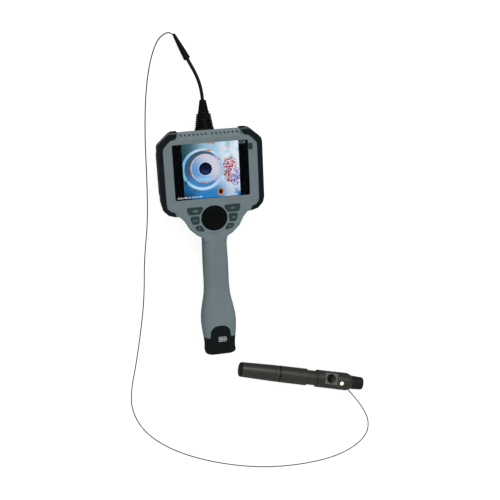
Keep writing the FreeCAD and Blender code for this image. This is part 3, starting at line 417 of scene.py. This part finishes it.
# %% Plastics and rubbers
finish = {
    "shell_grey": moulded("shell_grey", colour(109, 124, 128), 0.55, 0.25, 0.045, 0.30, 0.30, 0.20),
    "rear_grey": moulded("rear_grey", colour(103, 117, 119), 0.58, 0.25, 0.045, 0.30, 0.30, 0.20),
    # The bumpers take a strong paler edge: a painted highlight on their chamfers as much as wear.
    "bumper_teal": moulded("bumper_teal", colour(17, 25, 28), 0.55, 0.08, 0.10, 0.40, 0.70, 0.10),
    "guard_black": moulded("guard_black", colour(10, 14, 16), 0.62, 0.06, 0.10, 0.45, 0.45, 0.07),
    "flap_black": moulded("flap_black", colour(10, 13, 15), 0.62, 0.06, 0.10, 0.45, 0.45, 0.06),
    "carrier_black": moulded("carrier_black", colour(16, 17, 18), 0.5, 0.25, 0.05, 0.2, 0.2, 0.05),
    "chip_black": moulded("chip_black", colour(24, 25, 27), 0.45, 0.3, 0.05, 0.15, 0.1, 0.05),
    "key_teal": moulded("key_teal", colour(44, 63, 63), 0.55, 0.08, 0.07, 0.35, 0.30, 0.06),
    "nav_black": moulded("nav_black", colour(9, 12, 11), 0.72, 0.04, 0.12, 0.55, 0.25, 0.03),
    "base_black": moulded("base_black", colour(20, 21, 22), 0.6, 0.2, 0.05, 0.3, 0.2, 0.05),
    "tube_plastic": moulded("tube_plastic", colour(30, 31, 33), 0.5, 0.3, 0.05, 0.2, 0.2, 0.05),
    "cap_black": moulded("cap_black", colour(14, 21, 21), 0.60, 0.08, 0.10, 0.40, 0.35, 0.05),
    # The strain relief's strong paler edge is a painted highlight on its ribs as much as wear.
    "relief_rubber": moulded("relief_rubber", colour(6, 8, 8), 0.55, 0.06, 0.10, 0.40, 0.90, 0.06),
    "foot_rubber": moulded("foot_rubber", colour(12, 13, 13), 0.75, 0.08, 0.10, 0.50, 0.20, 0.03),
    "plate_dark": moulded("plate_dark", colour(30, 34, 35), 0.5, 0.2, 0.06, 0.25, 0.3, 0.08),
    "lead_black": moulded("lead_black", colour(11, 13, 13), 0.42, 0.12, 0.08, 0.15, 0.0, 0.04),
    "sleeve_black": moulded("sleeve_black", colour(9, 11, 12), 0.55, 0.08, 0.08, 0.25, 0.2, 0.04),
    "tube_dark": moulded("tube_dark", colour(8, 9, 10), 0.5, 0.06, 0.08, 0.15, 0.0, 0.04),
    "pen_black": moulded("pen_black", colour(19, 22, 21), 0.5, 0.12, 0.08, 0.30, 0.5, 0.08),
    "seal_rubber": moulded("seal_rubber", colour(10, 10, 10), 0.6, 0.15, 0.05, 0.2, 0.0, 0.03),
    "module_black": moulded("module_black", colour(10, 11, 12), 0.5, 0.2, 0.05, 0.2, 0.0, 0.03),
    "pcb_green": moulded("pcb_green", colour(24, 92, 60), 0.35, 0.4, 0.06, 0.1, 0.1, 0.1),
    "cell_wrap": moulded("cell_wrap", colour(42, 92, 150), 0.3, 0.5, 0.04, 0.05, 0.1, 0.1),
    "tab_green": moulded("tab_green", colour(16, 60, 50), 0.4, 0.15, 0.08, 0.10, 0.2, 0.1),
    "lcd_black": moulded("lcd_black", colour(8, 9, 12), 0.4, 0.02, 0.03, 0.05, 0.0, 0.02),
}

# %% Metals
finish.update({
    "pen_metal": metal("pen_metal", colour(52, 55, 48), 0.36, 0.45, 0.35, 0.50, 0.40, 0.12),
    "head_metal": metal("head_metal", colour(50, 53, 46), 0.36, 0.45, 0.30, 0.60, 0.40, 0.16),
    "nose_metal": metal("nose_metal", colour(27, 30, 26), 0.48, 0.25, 0.25, 0.40, 0.20, 0.08),
    "gland_metal": metal("gland_metal", colour(70, 71, 72), 0.4, 0.8, 0.3, 0.3, 0.4),
    "socket_metal": metal("socket_metal", colour(180, 182, 184), 0.28, 1.0, 0.1, 0.3),
    "bracket_steel": metal("bracket_steel", colour(168, 170, 172), 0.4, 1.0, 0.2, 0.2),
    "screw_steel": metal("screw_steel", colour(185, 186, 187), 0.3, 1.0, 0.3, 0.2),
    "screw_black": metal("screw_black", colour(46, 47, 49), 0.42, 0.8, 0.3, 0.6),
    "switch_metal": metal("switch_metal", colour(176, 170, 158), 0.35, 1.0, 0.2, 0.2),
    "gimbal_metal": metal("gimbal_metal", colour(160, 162, 164), 0.45, 1.0, 0.3, 0.2),
    "contact_brass": metal("contact_brass", colour(200, 172, 104), 0.3, 1.0, 0.3, 0.3),
    "socket_steel": metal("socket_steel", colour(140, 142, 145), 0.35, 1.0, 0.3, 0.3),
})
print("finishes:", len(finish))

# %% [markdown]
# ## Glass and light
# The window over the screen is clear. It is coated against reflections, so
# its index of refraction is set low. The side camera's window is dark and
# glossy, with a paler slant painted across it: painted light, the lit side
# wall of its recess. The lamp is lit: its lens glows white in the middle and
# turns orange at the rim, as a warm diode behind a dome does, and both come
# from the distance to the lens's own centre.

# %% Glass
def clear(name, tint, ior, roughness):
    paint, tree, bsdf = blank(name)
    bsdf.inputs["Base Color"].default_value = tint
    bsdf.inputs["Transmission Weight"].default_value = 1.0
    bsdf.inputs["IOR"].default_value = ior
    smear = noise(tree, put(tree, "TexCoord").outputs["Object"], 40.0, 3.0)
    tree.links.new(mask(tree, smear, 0.35, 0.75, roughness, roughness + 0.05), bsdf.inputs["Roughness"])
    return paint


finish["window_glass"] = clear("window_glass", (1.0, 1.0, 1.0, 1), 1.08, 0.0)


# %% Machined frame, rust, painted joint shade and the head's window with a painted lit wall
def overlay(paint, cover, tint):
    """Lays a flat colour over a finish where cover is 1."""
    tree = paint.node_tree
    base = tree.nodes["Principled BSDF"].inputs["Base Color"]
    tree.links.new(mix(tree, cover, base.links[0].from_socket, tint), base)


FLAT_NORMAL, FLAT_DEPTH = (0.1474, 0.5543, 0.8192), 0.0100
PEN_AT = (0.026, -0.3129, 0.0134)
RUST_AT = (0.1418, -0.3366, 0.0218)
tree = finish["head_metal"].node_tree
place = put(tree, "TexCoord").outputs["Object"]
from_axis = put(tree, "VectorMath", {0: place, 1: PEN_AT}, operation="SUBTRACT").outputs[0]
depth = put(tree, "VectorMath", {0: from_axis, 1: FLAT_NORMAL}, operation="DOT_PRODUCT").outputs["Value"]
true_normal = put(tree, "NewGeometry").outputs["True Normal"]
turned_to = put(tree, "VectorMath", {0: true_normal, 1: FLAT_NORMAL},
                operation="DOT_PRODUCT").outputs["Value"]
milled = sums(tree, "MULTIPLY", mask(tree, turned_to, 0.985, 0.998),
              mask(tree, depth, FLAT_DEPTH + 0.0006, FLAT_DEPTH + 0.0002))
overlay(finish["head_metal"], milled, colour(80, 84, 76))
for slot in ("head_metal", "pen_metal"):
    tree = finish[slot].node_tree
    place = put(tree, "TexCoord").outputs["Object"]
    away = put(tree, "VectorMath", {0: place, 1: RUST_AT}, operation="DISTANCE").outputs["Value"]
    overlay(finish[slot], mask(tree, away, 0.0034, 0.0016), colour(62, 34, 28))

PEN_AXIS = (0.96640, -0.25701, 0.0)
tree = finish["pen_metal"].node_tree
place = put(tree, "TexCoord").outputs["Object"]
from_tail = put(tree, "VectorMath", {0: place, 1: PEN_AT}, operation="SUBTRACT").outputs[0]
along = put(tree, "VectorMath", {0: from_tail, 1: PEN_AXIS}, operation="DOT_PRODUCT").outputs["Value"]
# Painted shade: dark rings where the joints between the pen's turned pieces are, darkening their grooves.
for at, half, shade in ((0.0629, 0.0011, (22, 24, 21)), (0.0547, 0.0006, (40, 42, 38)),
                        (0.0043, 0.0009, (26, 28, 26))):
    off = sums(tree, "ABSOLUTE", sums(tree, "SUBTRACT", along, at), 0.0)
    overlay(finish["pen_metal"], mask(tree, off, half * 1.15, half * 0.85), colour(*shade))

# The paler slant across the dark window is painted light: the lit side wall of its recess, pale towards one
# side.
LIT_WALL_SLANT = (0.55, -0.75, -0.35)
lens, tree, bsdf = blank("lens_dark")
place = put(tree, "TexCoord").outputs["Object"]
lens_low, lens_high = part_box("window_lens")
from_lens = put(tree, "VectorMath", {0: place, 1: (lens_low + lens_high) / 2},
                operation="SUBTRACT").outputs[0]
lit_wall_slant = put(tree, "VectorMath", {0: from_lens, 1: LIT_WALL_SLANT}, operation="DOT_PRODUCT").outputs["Value"]
tree.links.new(mix(tree, mask(tree, lit_wall_slant, -0.001, 0.006), colour(9, 9, 10), colour(66, 68, 61)),
               bsdf.inputs["Base Color"])
bsdf.inputs["Roughness"].default_value = 0.12
bsdf.inputs["Specular IOR Level"].default_value = 0.12
finish["lens_dark"] = lens


# %% Lamp
def glowing(name, centre, radius, strength):
    """A lit dome: white in the middle, orange towards its rim."""
    paint, tree, bsdf = blank(name)
    place = put(tree, "TexCoord").outputs["Object"]
    away = put(tree, "VectorMath", {0: place, 1: centre}, operation="DISTANCE").outputs["Value"]
    rim = mask(tree, away, radius * 0.45, radius * 1.15)
    glow = mix(tree, rim, colour(255, 250, 235), colour(226, 140, 52))
    tree.links.new(glow, bsdf.inputs["Emission Color"])
    tree.links.new(glow, bsdf.inputs["Base Color"])
    bsdf.inputs["Emission Strength"].default_value = strength
    bsdf.inputs["Roughness"].default_value = 0.25
    return paint


lens_low, lens_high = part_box("lamp_lens")
lens_centre = (lens_low + lens_high) / 2
lens_radius = (lens_high.x - lens_low.x) / 2
hot_spot = lens_centre + Vector((-0.0009, 0.0007, 0))
finish["lamp_clear"] = glowing("lamp_clear", hot_spot, lens_radius, 1.1)
finish["led_white"] = glowing("led_white", hot_spot, lens_radius, 1.5)
print("lamp at", [round(v, 4) for v in lens_centre], "radius", round(lens_radius, 4))

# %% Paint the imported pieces
slot_of = {part["node"]: part["material_slot"] for part in frame["record"]["subparts"]}
for name, node in nodes.items():
    node.data.materials.clear()
    node.data.materials.append(finish[slot_of[name]])
for cord in (lead, tube):
    cord.data.materials.append(finish[cord["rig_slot"]])

# %% [markdown]
# ## The picture on the screen
# The screen is lit and shows what the probe sees: the mouth of a bore inside a
# blue-lit pipe, rusty spots at its right, and black bars beside the square
# picture. The whole picture is one node group that works in millimetres from
# the middle of the screen. It starts with a backdrop and lays one soft-edged
# shape after another over it, from the outer ring down to the dark hole.

# %% Picture group
picture, takes, gives = new_group("bore_picture", [("Roughen", FLOAT, 1.0)], [("Colour", COLOUR)])
raw = put(picture, "TexCoord").outputs["Object"]
flat = put(picture, "VectorMath", {0: raw, 1: (1000, 1000, 0)}, operation="MULTIPLY").outputs[0]
jitter = put(picture, "VectorMath", {0: noise(picture, flat, 0.45, 4.0, out="Color"), 1: (0.5, 0.5, 0.5)},
             operation="SUBTRACT").outputs[0]
jitter = put(picture, "VectorMath", {0: jitter, 3: takes["Roughen"]}, operation="SCALE").outputs[0]
spot_place = put(picture, "VectorMath", {0: flat, 1: jitter}, operation="ADD").outputs[0]
axes = put(picture, "SeparateXYZ", {0: spot_place}).outputs
across, up = axes["X"], axes["Y"]


def away_from(x, y, stretch=1.0):
    """The distance from a point; a stretch above 1 makes the shape narrower along Y."""
    moved = put(picture, "VectorMath", {0: spot_place, 1: (x, y, 0)}, operation="SUBTRACT").outputs[0]
    moved = put(picture, "VectorMath", {0: moved, 1: (1, stretch, 0)}, operation="MULTIPLY").outputs[0]
    return put(picture, "VectorMath", {0: moved}, operation="LENGTH").outputs["Value"]


def lay(below, cover, *tint):
    return mix(picture, cover, below, colour(*tint))


def both(a, b):
    return sums(picture, "MULTIPLY", a, b)


clouds = noise(picture, flat, 0.10, 5.0)
patches = mask(picture, clouds, 0.38, 0.62)
grit = noise(picture, flat, 0.85, 4.0)
shown = mix(picture, mask(picture, across, -38, 4), colour(30, 66, 84), colour(158, 198, 222))
shown = lay(shown, both(mask(picture, across, 2, 24), mask(picture, clouds, 0.30, 0.55)), 222, 232, 240)
shown = lay(shown, both(mask(picture, up, -8, -30), mask(picture, across, 34, 4)), 44, 126, 192)
shown = lay(shown, both(mask(picture, up, -12, -38), mask(picture, across, -12, -38)), 16, 44, 72)
shown = lay(shown, both(mask(picture, up, -18, -36), both(mask(picture, across, 18, 36), patches)),
            34, 112, 176)
shown = lay(shown, both(mask(picture, up, 14, 34), both(mask(picture, across, -8, -34), grit)), 52, 92, 92)
ring_place = away_from(-10.9, 2.0)
shown = lay(shown, mask(picture, ring_place, 29.6, 27.6), 186, 216, 240)
shown = lay(shown, both(mask(picture, ring_place, 29.6, 28.0), mask(picture, across, -20, -36)),
            118, 190, 232)
shown = lay(shown, both(mask(picture, ring_place, 28.4, 26.4), mask(picture, across, 2, 16)), 172, 196, 226)
channel = away_from(-11.2, 2.3)
shown = lay(shown, mask(picture, channel, 25.4, 24.4), 62, 130, 192)
shown = lay(shown, both(mask(picture, channel, 25.4, 24.2), mask(picture, across, 0, 11)), 178, 198, 228)
dark_side = sums(picture, "SUBTRACT", up, sums(picture, "MULTIPLY", across, 0.9))
shown = lay(shown, both(mask(picture, channel, 25.4, 24.4), mask(picture, dark_side, 6, 30)), 62, 88, 112)
disc = away_from(-8.1, 3.2)
shown = lay(shown, mask(picture, disc, 20.2, 19.2), 222, 214, 216)
lit_side = sums(picture, "ADD", across, sums(picture, "MULTIPLY", up, 0.55))
face_tint = mix(picture, mask(picture, lit_side, -22, 8), colour(96, 152, 208), colour(206, 206, 222))
shown = mix(picture, mask(picture, disc, 19.2, 18.2), shown, face_tint)
shown = lay(shown, both(mask(picture, disc, 18.6, 16.6), mask(picture, up, -4, -14)), 150, 200, 240)
shown = lay(shown, mask(picture, away_from(-7.8, 2.6), 10.4, 9.0, 0.0, 0.7), 206, 226, 248)
hole = away_from(-7.8, 2.6)
shown = lay(shown, mask(picture, hole, 9.2, 8.5), 12, 16, 38)
shown = lay(shown, both(mask(picture, hole, 8.6, 5.0), mask(picture, up, 5, -5)), 36, 54, 110)
flecks = mask(picture, noise(picture, flat, 0.42, 5.0), 0.52, 0.60)
rim_flecks = both(flecks, both(mask(picture, disc, 17.6, 18.6), mask(picture, disc, 21.0, 20.0)))
shown = lay(shown, rim_flecks, 196, 122, 92)
grains = mask(picture, noise(picture, flat, 0.50, 6.0), 0.36, 0.64)
# Each spot: across, up, size, narrowness and colour.
SPOTS = [(25.5, 7.0, 13.5, 0.86, (166, 34, 56)), (22.0, -6.0, 9.0, 0.60, (142, 24, 44)),
         (25.5, -13.0, 10.5, 1.1, (150, 30, 50)), (29.0, 9.0, 7.0, 0.9, (206, 92, 116)),
         (33.0, -15.0, 9.5, 0.7, (112, 92, 176)), (33.5, -4.0, 6.0, 0.7, (140, 116, 190)),
         (-3.0, 27.6, 7.0, 2.6, (206, 104, 66)), (4.0, 36.8, 4.4, 1.7, (206, 44, 24)),
         (-2.0, 36.6, 4.2, 1.7, (216, 120, 60)), (11.0, 15.0, 2.6, 1.0, (200, 96, 80)),
         (22.0, 30.0, 3.2, 1.0, (216, 176, 158)), (-27.0, 2.6, 2.0, 1.0, (120, 70, 40)),
         (-34.5, -14.0, 3.4, 0.6, (60, 50, 46)), (-24.0, -26.5, 4.4, 1.4, (76, 86, 96))]
for x, y, size, stretch, tint in SPOTS:
    fading = both(mask(picture, away_from(x, y, stretch), size * 1.1, size * 0.2), grains)
    shown = lay(shown, mask(picture, fading, 0.30, 0.38), *tint)
shown = lay(shown, mask(picture, away_from(11.2, -30.5, 0.8), 5.6, 3.0), 176, 128, 74)
shown = lay(shown, mask(picture, away_from(11.2, -30.2, 0.8), 3.2, 2.2), 58, 14, 16)
speckle = mask(picture, noise(picture, flat, 1.6, 3.0), 0.3, 0.7, 0.80, 1.16)
shown = put(picture, "VectorMath", {0: shown, 3: speckle}, operation="SCALE").outputs[0]
flat_axes = put(picture, "SeparateXYZ", {0: flat}).outputs
beside = put(picture, "Math", {0: flat_axes["X"]}, operation="ABSOLUTE").outputs[0]
shown = mix(picture, mask(picture, beside, 37.9, 38.4), shown, colour(4, 5, 9))
picture.links.new(shown, gives["Colour"])

# %% [markdown]
# ## Small lit and printed pieces
# The picture, the figures over it and the marks on the keys are thin plates of
# their own. Each starts as a primitive, is scaled to size and joined with its
# neighbours. Flat marks for a curved surface are made above it, pulled down
# with a shrinkwrap and thickened with a solidify. Nothing here spells a name:
# the marks are plain digits and pictograms.

# %% Mark helpers
def bar(x0, x1, y0, y1, z0, z1):
    """A block between two corners given in millimetres."""
    bpy.ops.mesh.primitive_cube_add(size=1.0)
    made = bpy.context.object
    made.scale = ((x1 - x0) * MM, (y1 - y0) * MM, (z1 - z0) * MM)
    made.location = ((x0 + x1) / 2 * MM, (y0 + y1) / 2 * MM, (z0 + z1) / 2 * MM)
    bpy.ops.object.transform_apply(location=True, rotation=True, scale=True)
    return made


def stub(x, y, radius, z0, z1, sides=32, turn=0.0):
    """A flat disc, or with few sides a triangle or square, in millimetres and degrees."""
    bpy.ops.mesh.primitive_cylinder_add(vertices=sides, radius=radius * MM, depth=(z1 - z0) * MM,
                                        location=(x * MM, y * MM, (z0 + z1) / 2 * MM),
                                        rotation=(0, 0, math.radians(turn)))
    bpy.ops.object.transform_apply(location=True, rotation=True, scale=True)
    return bpy.context.object


def hoop(x, y, radius, thick, z, sides=48):
    bpy.ops.mesh.primitive_torus_add(major_radius=radius * MM, minor_radius=thick * MM,
                                     major_segments=sides, minor_segments=8,
                                     location=(x * MM, y * MM, z * MM))
    bpy.ops.object.transform_apply(location=True, rotation=True, scale=True)
    return bpy.context.object


def joined(name, pieces, paint, body, slot):
    """Several meshes as one piece with one finish, riding on a body."""
    bpy.ops.object.select_all(action="DESELECT")
    for piece in pieces:
        piece.select_set(True)
    bpy.context.view_layer.objects.active = pieces[0]
    if len(pieces) > 1:
        bpy.ops.object.join()
    made = bpy.context.object
    made.name = name
    made.data.materials.clear()
    made.data.materials.append(paint)
    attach(made, body)
    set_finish(made, slot)
    return made


def plain(name, tint, glow=0.0, roughness=0.5, specular=0.2):
    paint, tree, bsdf = blank(name)
    bsdf.inputs["Base Color"].default_value = tint
    bsdf.inputs["Roughness"].default_value = roughness
    bsdf.inputs["Specular IOR Level"].default_value = specular
    bsdf.inputs["Emission Color"].default_value = tint
    bsdf.inputs["Emission Strength"].default_value = glow
    return paint


# %% Screen picture and figures
lit_picture, tree, bsdf = blank("lit_picture")
tree.links.new(use_group(tree, picture, {}).outputs["Colour"], bsdf.inputs["Emission Color"])
bsdf.inputs["Emission Strength"].default_value = 1.0
bsdf.inputs["Base Color"].default_value = (0, 0, 0, 1)
bsdf.inputs["Specular IOR Level"].default_value = 0.0
SCREEN_X, SCREEN_Y = 50.6, 37.9
PANEL_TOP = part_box("lcd_panel")[1].z / MM
joined("screen_picture", [bar(-SCREEN_X, SCREEN_X, -SCREEN_Y, SCREEN_Y, PANEL_TOP + 0.004,
                              PANEL_TOP + 0.018)], lit_picture, "handset", "lcd_black")
white_figures = plain("white_figures", colour(214, 222, 230), 0.42, specular=0.0)
FIGURE_LOW, FIGURE_HIGH = PANEL_TOP + 0.020, PANEL_TOP + 0.034
STAMP_X, STAMP_Y, STAMP_W = -47.6, -36.4, 32.6
bpy.ops.object.text_add(location=(STAMP_X * MM, STAMP_Y * MM, FIGURE_LOW * MM))
stamp = bpy.context.object
stamp.data.body = "0000/00/00 00:00:00"
stamp.data.size = 2.9 * MM
stamp.data.space_character = 1.18
stamp.data.extrude = 0.006 * MM
stamp.data.resolution_u = 3
bpy.ops.object.convert(target="MESH")
bpy.ops.object.transform_apply(location=True, rotation=True, scale=True)
stamp_width = max(v.co.x for v in stamp.data.vertices) - min(v.co.x for v in stamp.data.vertices)
stamp.location = (STAMP_X * MM * (1 - STAMP_W * MM / stamp_width), 0, 0)
stamp.scale = (STAMP_W * MM / stamp_width, 1, 1)
bpy.ops.object.transform_apply(location=True, rotation=True, scale=True)
joined("date_figures", [stamp], white_figures, "handset", "lcd_black")
gauge_sides = [(39.8, 46.6, 36.2, 36.4), (39.8, 46.6, 33.6, 33.8), (39.8, 40.0, 33.6, 36.4),
               (46.4, 46.6, 33.6, 36.4), (46.6, 47.2, 34.4, 35.6)]
gauge_sides += [(41.0 + k * 1.9, 41.5 + k * 1.9, 34.5, 35.5) for k in range(3)]
gauge_bars = [bar(*sides, FIGURE_LOW, FIGURE_HIGH) for sides in gauge_sides]
gauge_paint = plain("gauge_paint", colour(150, 164, 178), 0.42, specular=0.0)
joined("charge_gauge", gauge_bars, gauge_paint, "handset", "lcd_black")

# %% Key marks
key_print = plain("key_print", colour(130, 150, 148), 0.0, 0.6, 0.1)
PRINT = 0.05


def key_mark(node, icon):
    """Prints a pictogram in the middle of a key; its shapes are given from the key's middle."""
    low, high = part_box(node)
    x, y, z = (low.x + high.x) / 2 / MM, (low.y + high.y) / 2 / MM, high.z / MM
    pieces = []
    for shape, *size in icon:
        if shape == "bar":
            pieces.append(bar(x + size[0], x + size[1], y + size[2], y + size[3], z - PRINT, z + PRINT))
        elif shape == "ring":
            pieces.append(hoop(x + size[0], y + size[1], size[2], 0.16, z, 32))
        else:
            pieces.append(stub(x + size[0], y + size[1], size[2], z - PRINT, z + PRINT, size[3], size[4]))
    return joined(node + "_mark", pieces, key_print, body_of(nodes[node])[0], "key_teal")


frame_icon = [("bar", -2.6, 2.6, 1.1, 1.4), ("bar", -2.6, 2.6, -1.4, -1.1), ("bar", -2.6, -2.3, -1.4, 1.4),
              ("bar", 2.3, 2.6, -1.4, 1.4)]
list_icon = [("bar", -3.6, -2.9, y, y + 0.45) for y in (-1.25, -0.25, 0.75)]
list_icon += [("bar", -2.3, 3.6, y, y + 0.45) for y in (-1.25, -0.25, 0.75)]
key_marks = [
    key_mark("key_1_left", list_icon),
    key_mark("key_1_right", frame_icon + [("ring", 0, 0, 0.75), ("bar", 3.4, 4.2, -0.2, 0.2),
                                          ("bar", -4.2, -3.4, -0.2, 0.2)]),
    key_mark("key_2_left", [("disc", -1.7, 0, 1.15, 3, 90), ("bar", -1.4, 2.6, -0.22, 0.22),
                            ("bar", 2.2, 2.6, -0.2, 1.3)]),
    key_mark("key_2_right", [("disc", -0.9, 0, 1.25, 3, -90), ("bar", 1.0, 1.4, -1.1, 1.1),
                             ("bar", 1.9, 2.3, -1.1, 1.1)]),
    key_mark("key_3_left", [("ring", -0.6, 0.6, 0.9), ("bar", -0.78, -0.42, 0.5, 2.0)]),
    key_mark("key_3_right", [("ring", 0.2, 0.7, 0.85), ("disc", 0.2, 0.7, 0.35, 16, 0),
                             ("bar", 1.5, 2.4, 0.5, 0.9), ("bar", -2.0, -1.1, 0.5, 0.9)])]
print("key marks:", [piece.name for piece in key_marks])

# %% Marks on the navigation pad
pad_low, pad_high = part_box("nav_pad")
pad_x, pad_y = (pad_low.x + pad_high.x) / 2 / MM, (pad_low.y + pad_high.y) / 2 / MM
print("pad", round(pad_x, 2), round(pad_y, 2), "radius", round((pad_high.x - pad_low.x) / 2 / MM, 2))
PAD_RING, PAD_ARROWS = 12.9, 14.9
pad_print = moulded("pad_print", colour(24, 28, 27), 0.6, 0.1, 0.06, 0.3, 0.0, 0.05)
pad_pieces = [hoop(pad_x, pad_y, PAD_RING, 0.14, 40.45, 72)]
for turn in (0, 90, 180, 270):
    slope = math.radians(turn)
    pad_pieces.append(stub(pad_x + PAD_ARROWS * math.sin(slope), pad_y + PAD_ARROWS * math.cos(slope), 1.15,
                           40.2, 40.42, 3, -turn))
joined("pad_marks", pad_pieces, pad_print, body_of(nodes["nav_pad"])[0], "nav_black")


# %% Marks that follow a curved surface
def wrap(piece, target, lift, thick):
    """Lays a flat mesh on a node from above and gives it a thickness; lengths are in millimetres."""
    bpy.ops.object.select_all(action="DESELECT")
    piece.select_set(True)
    bpy.context.view_layer.objects.active = piece
    down = piece.modifiers.new("down", "SHRINKWRAP")
    down.wrap_method = "PROJECT"
    down.use_project_z = True
    down.use_negative_direction = True
    down.use_positive_direction = False
    down.target = nodes[target]
    down.offset = lift * MM
    shell = piece.modifiers.new("thick", "SOLIDIFY")
    shell.thickness = thick * MM
    shell.offset = 0.0
    for step in ("down", "thick"):
        bpy.ops.object.modifier_apply(modifier=step)
    return piece


def sheet(x0, x1, y0, y1, z=60.0, pitch=0.8):
    """A flat grid of small squares in millimetres, fine enough to follow a curve."""
    bpy.ops.mesh.primitive_grid_add(x_subdivisions=max(1, round((x1 - x0) / pitch)),
                                    y_subdivisions=max(1, round((y1 - y0) / pitch)), size=1.0)
    made = bpy.context.object
    made.scale = ((x1 - x0) * MM, (y1 - y0) * MM, 1)
    made.location = ((x0 + x1) / 2 * MM, (y0 + y1) / 2 * MM, z * MM)
    bpy.ops.object.transform_apply(location=True, rotation=True, scale=True)
    return made


def arc_strip(x, y, radius, start, stop, width, z=60.0, steps=48):
    """A flat ribbon along an arc; angles in degrees from +X."""
    mesh = bpy.data.meshes.new("arc_strip")
    build = bmesh.new()
    pairs = []
    for k in range(steps + 1):
        a = math.radians(start + (stop - start) * k / steps)
        pairs.append([build.verts.new(((x + r * math.cos(a)) * MM, (y + r * math.sin(a)) * MM, z * MM))
                      for r in (radius - width / 2, radius + width / 2)])
    for near, far in zip(pairs, pairs[1:]):
        build.faces.new((near[0], near[1], far[1], far[0]))
    build.to_mesh(mesh)
    build.free()
    made = bpy.data.objects.new("arc_strip", mesh)
    bpy.context.scene.collection.objects.link(made)
    bpy.context.view_layer.objects.active = made
    return made


# The keypad arc is painted shade: a darker grey line along the lower edge of the keypad area, a thin sheet
# laid on the shell.
groove_shade_grey = moulded("groove_shade_grey", colour(86, 98, 100), 0.6, 0.15, 0.04, 0.2, 0.0, 0.05)
arc = joined("keypad_arc", [arc_strip(pad_x, pad_y, 21.4, 236, 304, 0.45)], groove_shade_grey,
             "handset", "shell_grey")
wrap(arc, "front_shell", 0.02, 0.06)
cap_print = plain("cap_print", colour(176, 184, 184), 0.0, 0.5, 0.2)
BADGE_X, BADGE_Y = 2.2, -250.6
badge_sides = [(-5.4, 5.4, 3.0, 3.8), (-5.4, 5.4, -3.8, -3.0), (-5.4, -4.6, -3.0, 3.0), (4.6, 5.4, -3.0, 3.0),
               (5.4, 6.3, -1.3, 1.3)]
badge_bars = [sheet(BADGE_X + x0, BADGE_X + x1, BADGE_Y + y0, BADGE_Y + y1) for x0, x1, y0, y1 in badge_sides]
badge_bars += [sheet(BADGE_X - 3.7 + 2.6 * k, BADGE_X - 1.9 + 2.6 * k, BADGE_Y - 2.1, BADGE_Y + 2.1)
               for k in range(3)]
badge = joined("battery_sign", badge_bars, cap_print, body_of(nodes["battery_cap"])[0], "cap_black")
wrap(badge, "battery_cap", 0.02, 0.06)
